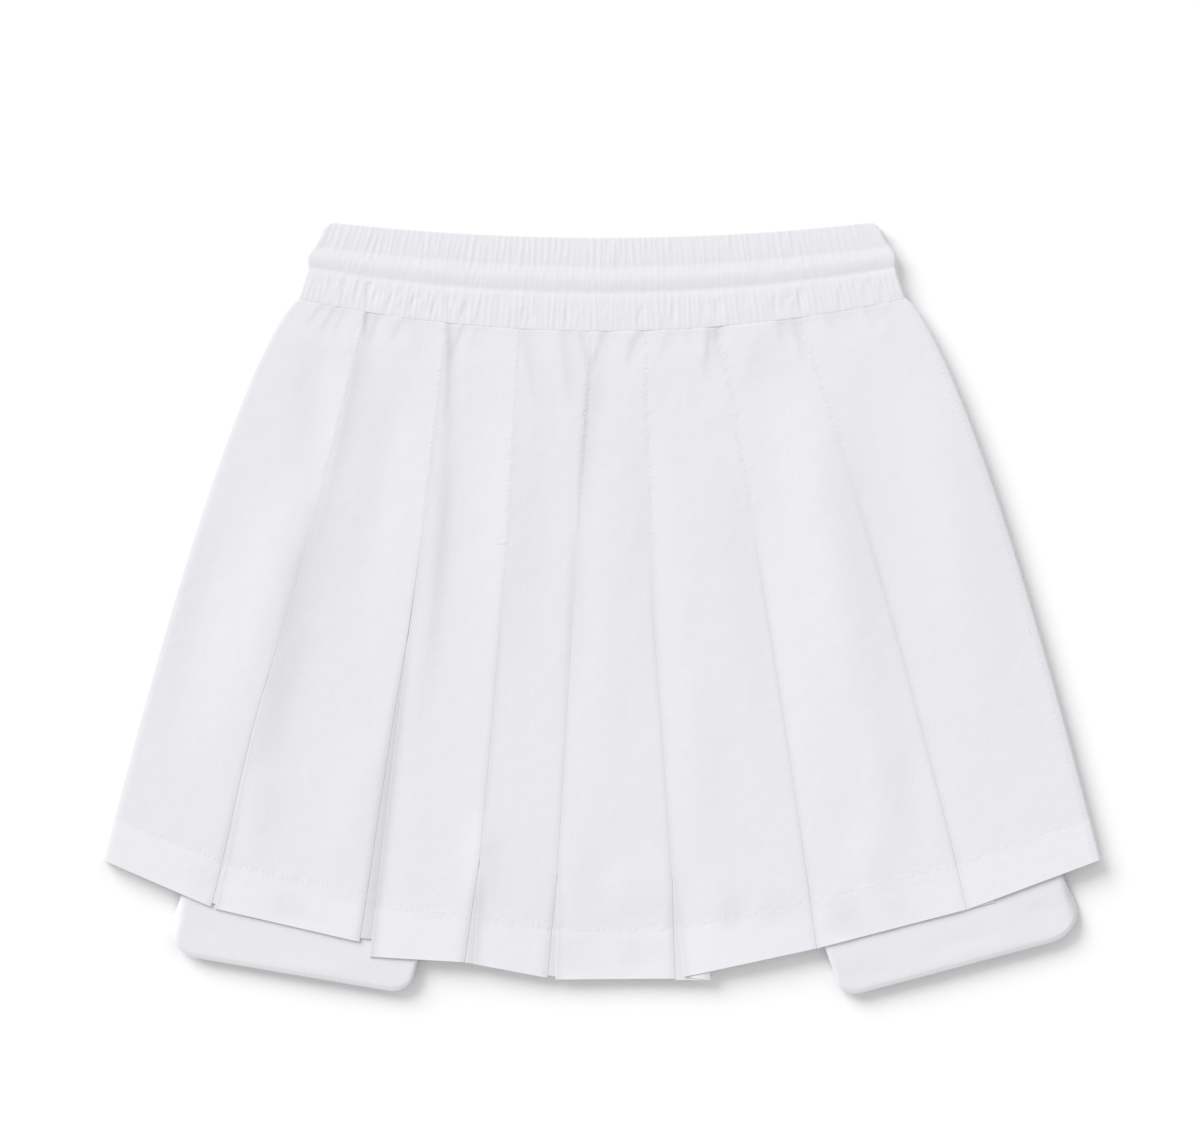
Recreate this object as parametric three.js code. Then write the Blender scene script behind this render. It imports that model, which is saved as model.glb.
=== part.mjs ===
// Golf skort lying flat on its back: a pleated skirt over inner shorts, sewn to one elastic waistband.
// Millimetres. X runs across the front, Y up towards the waist, Z out of the front; the back rests
// on Z = 0.
// Every piece of cloth is a closed wall, lofted through rows of stations across the garment.
import * as THREE from 'three';

// ---- driving sizes ---------------------------------------------------------------------------

const CLOTH = 1.0;                // wall of the skirt and of the shorts
const SEAM_GAP = 0.3;             // between two pieces at a seam
const LAYER_GAP = 0.15;           // between the layers of one pleat
const FOLD_WALL = 0.6;            // cloth at the turn of a fold

const WAIST_TOP_HALF = 150;       // waistband's top edge, centre to side
const WAIST_SEAM_HALF = 165;      // seam under the waistband, centre to side
const WAIST_TOP_Y = 199;          // top edge at the centre
const WAIST_TOP_RISE = 8.5;       // how much higher the top edge lies at the sides
const WAIST_SEAM_Y = 149;         // waist seam at the centre
const WAIST_SEAM_RISE = 17.5;     // how much higher the seam lies at the sides

const HEM_HALF = 270;             // hem corner, centre to side
const HEM_CORNER_Y = -136.5;      // hem corner
const HEM_CENTRE_Y = -202;        // hem at the centre
const SIDE_CURVE = 0.73;          // the side seam flares fast below the waist, then runs straighter
const HEM_BAND = 0.92;            // share of the length where the turned-up hem starts
const HEM_STEP = 0.3;             // extra thickness of the turned-up hem
const PLEAT_DEPTH_WAIST = 7;      // how far a pleat reaches under its panels at the waist
const PANEL_SAG = 0.9;            // panels hang a little between two pleats
const SIDE_RAMP_WAIST = 14;       // width over which the front turns down at its sides
const SIDE_RAMP_HEM = 24;
const HEM_SINK = 2;               // between the legs the front's hem sinks towards the back
const HEM_SINK_X = 10;            // middle of that hollow
const HEM_SINK_REACH = 75;        // from its middle to its rim
const HEM_SINK_FROM = 0.72;       // share of the length where it starts

const WAISTBAND_WALL = 3.2;       // elastic in its casing
const RIDGE_HEIGHT = 1.3;         // the padded channel along the band's middle
const STITCH_GROOVE = 0.7;        // where a row of stitching pulls the band in
const RIDGE_BULGE = 3;            // the channel stands out past the band's sides
const RIDGE_BULGE_POWER = 8;      // keeps that bulge to the last centimetres
const GATHER = 0.25;              // height of the gathers left and right of their mean
const BAND_END = 0.93;            // share of the half width where the band starts to turn over
const BAND_END_DROP = 1.9;
const BAND_END_THIN = 1.2;

const CROTCH_Y = -72;
const SHORTS_TOP_HALF = 149;      // shorts at the waist seam, centre to side
const SHORTS_SIDE_BOW = 5;        // how far their side seam bows outwards

// ---- heights of the layers, from the surface up --------------------------------------------------

const PLEAT_STACK = 3 * CLOTH + 2 * LAYER_GAP;
const SHORTS_BACK_Z = PLEAT_STACK + SEAM_GAP;
const SHORTS_FRONT_Z = SHORTS_BACK_Z + CLOTH + SEAM_GAP;
const SKIRT_FRONT_Z = SHORTS_FRONT_Z + CLOTH + SEAM_GAP;
const BAND_FRONT_Z = SHORTS_FRONT_Z + 0.5 * CLOTH;
const SIDE_EDGE_DROP = SKIRT_FRONT_Z + PLEAT_STACK - (2 * CLOTH + SEAM_GAP);

// ---- tables --------------------------------------------------------------------------------------

// Inverted pleats of the front, from the left of the view to the right. Each runs from the waist
// seam, is stitched down to its release, then falls free to the hem, where it may stand open.
const FRONT_PLEATS = [
  { waistX: -127, releaseX: -150, releaseY: 69, hemX: -210, hemY: -162.5 },
  { waistX: -83.5, releaseX: -96.5, releaseY: 45, hemX: -126, hemY: -185 },
  { waistX: -44.5, releaseX: -51.5, releaseY: 34.5, hemX: -71.5, hemY: -192.5 },
  { waistX: -5, releaseX: -13, releaseY: 30, hemX: -27, hemY: -201 },
  { waistX: 22.5, releaseX: 26.5, releaseY: 32, hemX: 42.5, hemY: -200.5 },
  { waistX: 62.5, releaseX: 81.5, releaseY: 45, hemX: 116.5, hemY: -184.5 },
  { waistX: 105.5, releaseX: 133, releaseY: 74, hemX: 197.5, hemY: -163.5 },
];

// How each of them lies at the hem. opening: gap between its two fold edges; step: how much lower
// its right-hand edge hangs; depth: reach under each panel; leftY, rightY: hem of the hidden layer.
const FRONT_OPENINGS = [
  { opening: 9, step: 1, depth: 15, leftY: -154.5, rightY: -166 },
  { opening: 11, step: 8, depth: 15, leftY: -177, rightY: -181.5 },
  { opening: 6, step: 1, depth: 13, leftY: -191, rightY: -194 },
  { opening: 6, step: 1, depth: 12, leftY: -198, rightY: -201 },
  { opening: 6, step: -1, depth: 14, leftY: -201.5, rightY: -202 },
  { opening: 0.8, step: 0, depth: 16, leftY: -187.5, rightY: -180 },
  { opening: 0.8, step: 0, depth: 15, leftY: -167, rightY: -159.5 },
];

// The back's pleats on one side of its centre; the other side mirrors them.
const BACK_PLEATS = [
  { waistX: 20, releaseX: 25, releaseY: 34, hemX: 38, hemY: -196 },
  { waistX: 62, releaseX: 76, releaseY: 44, hemX: 114, hemY: -180 },
  { waistX: 106, releaseX: 131, releaseY: 64, hemX: 192, hemY: -159 },
];
const BACK_OPENINGS = [
  { opening: 0.8, step: 0, depth: 13, leftY: -196, rightY: -193 },
  { opening: 0.8, step: 0, depth: 14, leftY: -183, rightY: -176 },
  { opening: 0.8, step: 0, depth: 14, leftY: -163, rightY: -155 },
];

// Rows down the skirt, as shares of its length.
const FRONT_ROWS = [0, 0.05, 0.13, 0.23, 0.34, 0.48, 0.64, 0.8, HEM_BAND - 0.005, HEM_BAND, 1];
const BACK_ROWS = [0, 0.1, 0.22, 0.34, 0.5, 0.68, 0.85, 1];

// Profile of the waistband from its top edge to the waist seam: s is the share of its height,
// height is measured out from the face of the band, bulge is the share of RIDGE_BULGE at the sides.
const BAND_PROFILE = [
  { s: 0, height: -1.2, bulge: 0 },
  { s: 0.03, height: -0.2, bulge: 0 },
  { s: 0.15, height: 0.1, bulge: 0 },
  { s: 0.27, height: 0, bulge: 0.1 },
  { s: 0.3, height: -STITCH_GROOVE, bulge: 0.4 },
  { s: 0.36, height: RIDGE_HEIGHT * 0.8, bulge: 0.9 },
  { s: 0.45, height: RIDGE_HEIGHT, bulge: 1 },
  { s: 0.54, height: RIDGE_HEIGHT * 0.8, bulge: 0.8 },
  { s: 0.6, height: -STITCH_GROOVE, bulge: 0.3 },
  { s: 0.66, height: 0, bulge: 0 },
  { s: 0.82, height: 0.2, bulge: 0 },
  { s: 0.97, height: 0, bulge: 0 },
  { s: 1, height: -0.6, bulge: 0 },
];
const BAND_STATIONS = 25;
const BAND_END_STATIONS = [0.965, 0.985, 1];

// The two legs, which lie splayed as they fell. The outer corner ends the side seam, the inner one
// the inseam; both corners of the leg opening are rounded.
const LEGS = {
  left: { side: -1, outerX: -233, outerY: -187.5, innerX: -101, innerY: -210, forkX: -80 },
  right: { side: 1, outerX: 258, outerY: -177.5, innerX: 126.5, innerY: -212.5, forkX: 100 },
};
const FORK_Y = -105;              // bend of the inseam below the crotch
const CORNER_RISE = 11;           // how much the leg's opening rises at its rounded corners
const CORNER_SHARE = 0.12;        // share of the opening's width that each corner takes
const CORNER_FROM = 0.9;          // share of the leg's length where the rounding starts
const CROTCH_V = 0.635;           // share of the leg's length where its inseam leaves the crotch
const LEG_ROWS = [0, 0.25, 0.5, CROTCH_V, 0.75, 0.86, 0.93, 0.97, 1];
const LEG_STATIONS = [0, 0.06, 0.2, 0.4, 0.6, 0.8, 0.94, 1];
const LEG_DROP = 3.2;             // past the skirt's hem a leg sinks to the surface
const LEG_DROP_LENGTH = 14;

// ---- curves --------------------------------------------------------------------------------------

const lerp = (a, b, t) => a + (b - a) * t;
const clamp01 = (t) => Math.min(1, Math.max(0, t));
const smooth = (t) => clamp01(t) ** 2 * (3 - 2 * clamp01(t));

// The quadratic through start at 0, middle at mid and end at 1.
function throughThree(start, middle, end, mid, v) {
  const bend = ((middle - start) / mid - (end - start)) / (mid - 1);
  return start + (end - start - bend) * v + bend * v * v;
}

const waistTopY = (x) => WAIST_TOP_Y + WAIST_TOP_RISE * (x / WAIST_TOP_HALF) ** 2;
const waistSeamY = (x) => WAIST_SEAM_Y + WAIST_SEAM_RISE * (x / WAIST_SEAM_HALF) ** 2;
const hemArcY = (x) => lerp(HEM_CENTRE_Y, HEM_CORNER_Y, (x / HEM_HALF) ** 2);

function sidePoint(side, v) {
  const topY = waistSeamY(WAIST_SEAM_HALF) - SEAM_GAP;
  const x = lerp(WAIST_SEAM_HALF, HEM_HALF, v ** SIDE_CURVE);
  return [side * x, lerp(topY, HEM_CORNER_Y, v)];
}

function hemSink(x, v) {
  const away = Math.min(1, Math.abs(x - HEM_SINK_X) / HEM_SINK_REACH);
  const depth = HEM_SINK * smooth((v - HEM_SINK_FROM) / (1 - HEM_SINK_FROM));
  return depth * Math.cos(Math.PI / 2 * away) ** 2;
}

// Both fold edges of a pleat, and its two hidden creases, at share v of the length.
function pleatPoints(pleat, v) {
  const topY = waistSeamY(pleat.waistX) - SEAM_GAP;
  const releaseV = (topY - pleat.releaseY) / (topY - pleat.hemY);
  const x = throughThree(pleat.waistX, pleat.releaseX, pleat.hemX, releaseV, v);
  const y = lerp(topY, pleat.hemY, v);
  const freed = clamp01((v - releaseV) / (1 - releaseV));
  const half = lerp(SEAM_GAP, Math.max(pleat.opening, SEAM_GAP), freed ** 1.3) / 2;
  const step = pleat.step * freed / 2;
  const depth = lerp(PLEAT_DEPTH_WAIST, pleat.depth, smooth(v));
  const hidden = (hemY) => lerp(y, hemY, smooth((v - HEM_BAND) / (1 - HEM_BAND)));
  return {
    left: [x - half, y + step],
    right: [x + half, y - step],
    creaseLeft: [x - half - depth, hidden(pleat.leftY)],
    creaseRight: [x + half + depth, hidden(pleat.rightY)],
  };
}

// ---- solids --------------------------------------------------------------------------------------

// A closed wall through rows of stations. A station is { outer, inner }, two points of the wall.
function loftWall(rows) {
  const count = rows[0].length;
  const positions = [];
  for (const row of rows) {
    for (const station of row) positions.push(...station.outer, ...station.inner);
  }
  const index = [];
  const outer = (r, s) => 2 * (r * count + s);
  const inner = (r, s) => outer(r, s) + 1;
  const quad = (a, b, c, d) => index.push(a, b, c, a, c, d);
  for (let r = 0; r + 1 < rows.length; r += 1) {
    for (let s = 0; s + 1 < count; s += 1) {
      quad(outer(r, s), outer(r + 1, s), outer(r + 1, s + 1), outer(r, s + 1));
      quad(inner(r, s), inner(r, s + 1), inner(r + 1, s + 1), inner(r + 1, s));
    }
    quad(outer(r, 0), inner(r, 0), inner(r + 1, 0), outer(r + 1, 0));
    quad(outer(r, count - 1), outer(r + 1, count - 1), inner(r + 1, count - 1), inner(r, count - 1));
  }
  const last = rows.length - 1;
  for (let s = 0; s + 1 < count; s += 1) {
    quad(outer(0, s), outer(0, s + 1), inner(0, s + 1), inner(0, s));
    quad(outer(last, s), inner(last, s), inner(last, s + 1), outer(last, s + 1));
  }
  return facingOut(positions, index);
}

// A closed bar through sections, each a ring of points in the same order and of even number.
function loftBar(sections) {
  const count = sections[0].length;
  const positions = sections.flat(2);
  const index = [];
  for (let k = 0; k + 1 < sections.length; k += 1) {
    for (let i = 0; i < count; i += 1) {
      const a = k * count + i;
      const b = k * count + (i + 1) % count;
      index.push(a, b, b + count, a, b + count, a + count);
    }
  }
  // the first half of a ring runs out and the second half back, so a strip between them closes it
  const last = (sections.length - 1) * count;
  for (let i = 0; i + 1 < count / 2; i += 1) {
    const [a, b, c, d] = [i, i + 1, count - 2 - i, count - 1 - i];
    index.push(a, d, c, a, c, b);
    index.push(last + a, last + c, last + d, last + a, last + b, last + c);
  }
  return facingOut(positions, index);
}

// Faces all point out when the signed volume is positive.
function facingOut(positions, index) {
  const corner = (i) => new THREE.Vector3().fromArray(positions, 3 * index[i]);
  let volume = 0;
  for (let i = 0; i < index.length; i += 3) {
    volume += corner(i).dot(corner(i + 1).cross(corner(i + 2)));
  }
  const ordered = volume > 0 ? index : index.slice().reverse();
  const geometry = new THREE.BufferGeometry();
  geometry.setAttribute('position', new THREE.Float32BufferAttribute(positions, 3));
  geometry.setIndex(ordered);
  geometry.computeVertexNormals();
  return geometry;
}

// ---- skirt ---------------------------------------------------------------------------------------

// One row of the skirt. Heights count from the wall's inner side; toZ turns them into Z.
function skirtRow(pleats, v, options) {
  const { toZ, sag, hemStep, edgeDrop, sink } = options;
  const stations = [];
  const level = (k) => k * (CLOTH + LAYER_GAP);
  const place = ([x, y], height) => {
    const seamed = v === 0 ? waistSeamY(x) - SEAM_GAP : y;
    return [x, seamed, toZ(height - sink(x, v))];
  };
  const put = (outerPoint, outerHeight, innerPoint, innerHeight) => {
    stations.push({ outer: place(outerPoint, outerHeight), inner: place(innerPoint, innerHeight) });
  };
  const step = v >= HEM_BAND ? hemStep : 0;
  const panelTop = level(2) + CLOTH + step;
  const shifted = (point, dx) => [point[0] + dx, point[1]];

  const panel = (from, to, shares) => {
    for (const share of shares) {
      const point = [lerp(from[0], to[0], share), lerp(from[1], to[1], share)];
      const lowered = sag * Math.sin(Math.PI * share) * smooth(v / 0.3);
      put(point, panelTop - lowered, point, level(2) - lowered);
    }
  };
  const sidePanel = (side, fold, order) => {
    const edge = sidePoint(side, v);
    const ramp = lerp(SIDE_RAMP_WAIST, SIDE_RAMP_HEM, v);
    const width = Math.abs(fold[0] - edge[0]);
    for (const share of order) {
      const distance = share <= 1 ? share * ramp : lerp(ramp, width, share - 1);
      const along = distance / width;
      const point = [lerp(edge[0], fold[0], along), lerp(edge[1], fold[1], along)];
      const lowered = edgeDrop * (1 - Math.sin(Math.PI / 2 * clamp01(distance / ramp)));
      put(point, panelTop - lowered, point, level(2) - lowered);
    }
  };

  const folds = pleats.map((pleat) => pleatPoints(pleat, v));
  sidePanel(-1, folds[0].left, [0, 0.33, 0.66, 1, 1.5]);
  folds.forEach((fold, k) => {
    const { left, right, creaseLeft, creaseRight } = fold;
    put(left, panelTop, shifted(left, -FOLD_WALL), level(2));
    put(left, level(1), shifted(left, -FOLD_WALL), level(1) + CLOTH);
    put(shifted(creaseLeft, FOLD_WALL), level(1), creaseLeft, level(1) + CLOTH);
    put(shifted(creaseLeft, FOLD_WALL), level(0) + CLOTH, creaseLeft, level(0));
    put(shifted(creaseRight, -FOLD_WALL), level(0) + CLOTH, creaseRight, level(0));
    put(shifted(creaseRight, -FOLD_WALL), level(1), creaseRight, level(1) + CLOTH);
    put(right, level(1), shifted(right, FOLD_WALL), level(1) + CLOTH);
    put(right, panelTop, shifted(right, FOLD_WALL), level(2));
    if (k + 1 < folds.length) panel(right, folds[k + 1].left, [0.25, 0.5, 0.75]);
  });
  sidePanel(1, folds[folds.length - 1].right, [1.5, 1, 0.66, 0.33, 0]);
  return stations;
}

function skirtFront() {
  const options = {
    toZ: (height) => SKIRT_FRONT_Z + height,
    sag: PANEL_SAG,
    hemStep: HEM_STEP,
    edgeDrop: SIDE_EDGE_DROP,
    sink: hemSink,
  };
  const pleats = FRONT_PLEATS.map((pleat, k) => ({ ...pleat, ...FRONT_OPENINGS[k] }));
  return loftWall(FRONT_ROWS.map((v) => skirtRow(pleats, v, options)));
}

function skirtBack() {
  const half = BACK_PLEATS.map((pleat, k) => ({ ...pleat, ...BACK_OPENINGS[k] }));
  const mirrored = half.map((pleat) => ({
    ...pleat,
    waistX: -pleat.waistX,
    releaseX: -pleat.releaseX,
    hemX: -pleat.hemX,
    leftY: pleat.rightY,
    rightY: pleat.leftY,
  }));
  const pleats = [...mirrored.reverse(), ...half];
  const options = {
    toZ: (height) => PLEAT_STACK - height,
    sag: 0,
    hemStep: 0,
    edgeDrop: 0,
    sink: () => 0,
  };
  return loftWall(BACK_ROWS.map((v) => skirtRow(pleats, v, options)));
}

// ---- waistband -----------------------------------------------------------------------------------

function bandShares() {
  const middle = [];
  for (let i = 0; i < BAND_STATIONS; i += 1) {
    middle.push(lerp(-BAND_END, BAND_END, i / (BAND_STATIONS - 1)));
  }
  const ends = BAND_END_STATIONS;
  return [...ends.map((u) => -u).reverse(), ...middle, ...ends];
}

// face(row, share, i) and back(share) give the two sides of the band as Z.
function waistband(face, back) {
  const sections = bandShares().map((u, i) => {
    const point = ({ s, bulge }) => {
      const topX = u * WAIST_TOP_HALF;
      const seamX = u * WAIST_SEAM_HALF;
      const out = RIDGE_BULGE * bulge * Math.abs(u) ** RIDGE_BULGE_POWER;
      const x = lerp(topX, seamX, s) + Math.sign(u) * out;
      return [x, lerp(waistTopY(topX), waistSeamY(seamX), s)];
    };
    const upper = BAND_PROFILE.map((row) => [...point(row), face(row, u, i)]);
    const lower = BAND_PROFILE.map((row) => [...point(row), back(u)]).reverse();
    return [...upper, ...lower];
  });
  return loftBar(sections);
}

function bandEnd(u) {
  const turned = clamp01((Math.abs(u) - BAND_END) / (1 - BAND_END));
  return 1 - Math.sqrt(1 - turned * turned);
}

function waistbandFront() {
  const inner = (u) => BAND_FRONT_Z - BAND_END_DROP * bandEnd(u);
  const face = (row, u, i) => {
    const gather = GATHER * (i % 2 === 0 ? 1 : -1);
    return inner(u) + WAISTBAND_WALL + row.height + gather - BAND_END_THIN * bandEnd(u);
  };
  return waistband(face, inner);
}

function waistbandBack() {
  const face = (row) => Math.max(0, -row.height);
  return waistband(face, () => WAISTBAND_WALL);
}

// ---- shorts --------------------------------------------------------------------------------------

function shortsPiece(leg, z) {
  const centreX = leg.side * SEAM_GAP / 2;
  const crotch = new THREE.Vector2(centreX, CROTCH_Y);
  const fork = new THREE.Vector2(leg.forkX, FORK_Y);
  const inseam = new THREE.QuadraticBezierCurve(crotch, fork, new THREE.Vector2(leg.innerX, leg.innerY));
  const topX = leg.side * SHORTS_TOP_HALF;
  const bendX = lerp(topX, leg.outerX, 0.5) + leg.side * SHORTS_SIDE_BOW;

  const sideAt = (v) => [
    throughThree(topX, bendX, leg.outerX, 0.5, v),
    lerp(waistSeamY(topX) - SEAM_GAP, leg.outerY, v),
  ];
  const innerAt = (v) => {
    if (v <= CROTCH_V) return [centreX, lerp(waistSeamY(centreX) - SEAM_GAP, CROTCH_Y, v / CROTCH_V)];
    return inseam.getPoint((v - CROTCH_V) / (1 - CROTCH_V)).toArray();
  };
  const rows = LEG_ROWS.map((v) => LEG_STATIONS.map((u) => {
    const from = sideAt(v);
    const to = innerAt(v);
    const x = lerp(from[0], to[0], u);
    const edge = Math.min(u, 1 - u);
    const inCorner = Math.max(0, 1 - edge / CORNER_SHARE) ** 2;
    const rounding = CORNER_RISE * inCorner * smooth((v - CORNER_FROM) / (1 - CORNER_FROM));
    const straight = lerp(from[1], to[1], u);
    const y = (v === 0 ? waistSeamY(x) - SEAM_GAP : straight) + rounding;
    const beyond = smooth((hemArcY(x) - 2 - y) / LEG_DROP_LENGTH);
    const low = z - LEG_DROP * beyond;
    return { outer: [x, y, low + CLOTH], inner: [x, y, low] };
  }));
  return loftWall(rows);
}

// ---- assembly ------------------------------------------------------------------------------------

const poplin = { color: 0xe9e8ed, roughness: 0.85, metalness: 0 };
const lining = { color: 0xe6e5ea, roughness: 0.8, metalness: 0 };

function piece(name, geometry, finish) {
  const mesh = new THREE.Mesh(geometry, new THREE.MeshStandardMaterial(finish));
  mesh.name = name;
  return mesh;
}

const skort = new THREE.Group();
skort.add(piece('waistband_front', waistbandFront(), poplin));
skort.add(piece('waistband_back', waistbandBack(), poplin));
skort.add(piece('skirt_front', skirtFront(), poplin));
skort.add(piece('skirt_back', skirtBack(), poplin));
for (const [name, leg] of Object.entries(LEGS)) {
  skort.add(piece(`shorts_front_${name}`, shortsPiece(leg, SHORTS_FRONT_Z), lining));
  skort.add(piece(`shorts_back_${name}`, shortsPiece(leg, SHORTS_BACK_Z), lining));
}

export default skort;
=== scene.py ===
import bpy
import numpy as np
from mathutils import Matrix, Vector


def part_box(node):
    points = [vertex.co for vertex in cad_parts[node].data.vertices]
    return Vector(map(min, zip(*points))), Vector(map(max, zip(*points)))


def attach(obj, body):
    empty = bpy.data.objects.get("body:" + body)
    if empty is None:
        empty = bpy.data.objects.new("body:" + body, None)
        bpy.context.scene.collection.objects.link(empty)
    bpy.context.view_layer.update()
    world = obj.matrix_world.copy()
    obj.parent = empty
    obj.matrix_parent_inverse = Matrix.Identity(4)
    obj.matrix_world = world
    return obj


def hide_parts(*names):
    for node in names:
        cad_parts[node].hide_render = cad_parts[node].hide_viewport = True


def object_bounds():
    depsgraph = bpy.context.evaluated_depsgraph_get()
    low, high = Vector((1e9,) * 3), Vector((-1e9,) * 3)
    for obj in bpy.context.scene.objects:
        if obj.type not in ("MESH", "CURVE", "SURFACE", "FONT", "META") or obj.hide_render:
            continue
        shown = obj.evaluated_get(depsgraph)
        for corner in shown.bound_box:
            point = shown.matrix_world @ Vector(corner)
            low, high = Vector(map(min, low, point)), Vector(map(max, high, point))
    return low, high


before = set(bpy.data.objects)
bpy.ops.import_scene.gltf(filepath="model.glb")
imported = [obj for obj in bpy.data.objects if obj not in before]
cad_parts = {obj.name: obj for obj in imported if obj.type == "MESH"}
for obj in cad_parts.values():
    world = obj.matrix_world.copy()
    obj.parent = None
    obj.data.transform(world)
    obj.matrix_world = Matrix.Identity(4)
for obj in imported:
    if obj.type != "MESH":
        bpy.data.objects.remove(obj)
cad_low, cad_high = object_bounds()

# ---- The table and its light ---------------------------------------------------------------------
# The skort lies flat on a white table under a tent of soft white light, with one broad lamp to the
# upper left. The camera hangs straight above it, far enough away for the sides to stay upright.

MM = 0.001                        # every size below is in millimetres
CAMERA_X = -0.8
CAMERA_Y = 19.2
CAMERA_HEIGHT = 2700
VIEW_WIDTH = 648                  # what the picture takes in across the garment
SENSOR = 36
GARMENT_TOP = cad_high.z / MM

camera_data = bpy.data.cameras.new("overhead")
camera_data.sensor_width = SENSOR
camera_data.lens = SENSOR * (CAMERA_HEIGHT - GARMENT_TOP) / VIEW_WIDTH
camera_data.clip_end = 20
camera = bpy.data.objects.new("overhead", camera_data)
camera.location = (CAMERA_X * MM, CAMERA_Y * MM, CAMERA_HEIGHT * MM)
bpy.context.scene.collection.objects.link(camera)
bpy.context.scene.camera = camera
bpy.context.scene.view_settings.view_transform = "Standard"

LAMP_AZIMUTH = 134                # from +X towards +Y, so the light comes from the upper left
LAMP_ELEVATION = 31
LAMP_SPREAD = 38
LAMP_STRENGTH = 2.45
TENT_STRENGTH = 0.66

lamp_data = bpy.data.lights.new("broad_lamp", "SUN")
lamp_data.energy = LAMP_STRENGTH
lamp_data.angle = np.radians(LAMP_SPREAD)
lamp = bpy.data.objects.new("broad_lamp", lamp_data)
lamp.rotation_euler = (0, np.radians(90 - LAMP_ELEVATION), np.radians(LAMP_AZIMUTH))
bpy.context.scene.collection.objects.link(lamp)


def set_inputs(owner, node, inputs):
    """Each of a node's inputs is given a value or another node's output."""
    for name, value in inputs.items():
        if isinstance(value, bpy.types.NodeSocket):
            owner.node_tree.links.new(value, node.inputs[name])
        else:
            node.inputs[name].default_value = value


tent = bpy.data.worlds.new("white_tent")
tent.use_nodes = True
set_inputs(tent, tent.node_tree.nodes["Background"], {"Color": (1, 1, 1, 1), "Strength": TENT_STRENGTH})
bpy.context.scene.world = tent

TABLE_SIZE = 8                    # metres

bpy.ops.object.select_all(action="DESELECT")
bpy.ops.mesh.primitive_plane_add(size=TABLE_SIZE)
table_top = bpy.context.object
table_top.name = "table_top"
white_paper = bpy.data.materials.new("white_paper")
white_paper.use_nodes = True
paper = {"Base Color": (0.97, 0.97, 0.97, 1), "Roughness": 1, "Specular IOR Level": 0}
set_inputs(white_paper, white_paper.node_tree.nodes["Principled BSDF"], paper)
table_top.data.materials.append(white_paper)

# ---- Skirt front ---------------------------------------------------------------------------------
# One flared width of white cotton poplin, folded into seven inverted pleats. Each is edge-stitched
# from the waist to its release and falls free below it; the hem is turned up and stitched once.

WAIST_SEAM_HALF = 165
WAIST_SEAM_Y = 149
WAIST_SEAM_RISE = 17.5
HEM_HALF = 270
HEM_CORNER_Y = -136.5
HEM_CENTRE_Y = -202
SIDE_CURVE = 0.73                 # the sides flare fast below the waist, then run straighter
SEAM_GAP = 0.1
TUCK = 0.5                        # the seam takes that much cloth into the waistband
HEM_SHARE = 0.9235                # share of the length where the turned-up hem is stitched
PLEAT_DEPTH_WAIST = 7
POPLIN_WHITE = (0.785, 0.782, 0.815)
POPLIN_THREAD = 0.32
POPLIN_CRUMPLE = 0.35
HEM_WALL = 0.36                   # the turned-up hem; single cloth is thinner
SINGLE_CLOTH = 0.7                # share of that

# Heights of the cloth's middle: the panels' above the bottom of the skirt's stack of layers, and
# how far apart the layers of a pleat lie. A pleat that gapes lies looser by that much at the hem.
PANEL_LEVEL = 2.8
PRESSED = 0.28
HEM_PRESSED = 0.38
FOLD_ROUNDING = 0.15              # how far a panel's right-hand edge rounds down at an open fold
FOLD_REACH = 1.6
DROP_REACH = 9                    # how far from a fold the next panel lies lowered
CREST_REACH = 9                   # how far the tilt of the panels is felt on both sides of a fold
SEWN_OVERLAP = 0.5                # the fold edges press into each other where they are sewn
SEWN_STEP = 0.03
SLIT = 0.1                        # and lie that far apart below
OPENING_POWER = 0.8
FREED_OVER = 0.2                  # share of the free length over which a fold comes out of its stitching
SWAY_FROM = 0.4                   # shares of the length, down to IRONED_OVER
HIDDEN_HEM_FROM = 0.6
HEM_LAYERS_FROM = 0.86
HEM_LAYERS_OVER = 0.06
IRONED_OVER = 0.12                # the panels begin to tilt and sag over that much below the waist
# In an open fold the hidden layer swells up between the panels, almost level with them: places
# beside the fold edges in millimetres, between them as shares of the gap, and how far it is up.
FLOOR = [(-5, 0, 0), (-1.2, 0, 0), (-0.3, 0, 0.9), (0.25, 0, 1), (0, 0.3, 1), (0, 0.5, 1),
         (0, 0.7, 1), (-0.25, 1, 1), (0.3, 1, 0.8), (1.2, 1, 0), (5, 1, 0)]
FLOOR_LAYERS = 0.5                # its depth below the panels there, in layers
FLOOR_RISE_GAP = 0.25             # it has come up where a gap is that wide
FLOOR_FULL_GAP = 0.8              # and its rows beside the edges have spread out
# Painted shade: the cloth is painted greyer in the gap of a fold, on the edges beside it
# and in the pressed grooves, where shade falls.
PAINTED_SHADE_GAIN = 0.86
HOLLOW_CLOSED = 0.4
HOLLOW_SEWN = 0.12
HOLLOW_WIDE = 1.2                 # half of a gap that has all its shade
HOLLOW_LEFT = 2.6                 # from the fold edge
HOLLOW_RIGHT = 3.2
HOLLOW_WITHIN = 12                # nothing is shaded further from a fold
GROOVE_SHADE = 0.9                # a groove a millimetre deep is that much of it
CURL_REACH = 4                    # near the hem a panel's edge curls down over that width
SHARP_TURN = 0.35                 # the right-hand fold is pressed sharp
EDGE_STITCH = 1.3                 # from a fold to the row of stitching beside it


def pleat_table(**measures):
    """Pleats from tables of their measures, with a value for each pleat."""
    return [dict(zip(measures, values)) for values in zip(*measures.values())]


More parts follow.
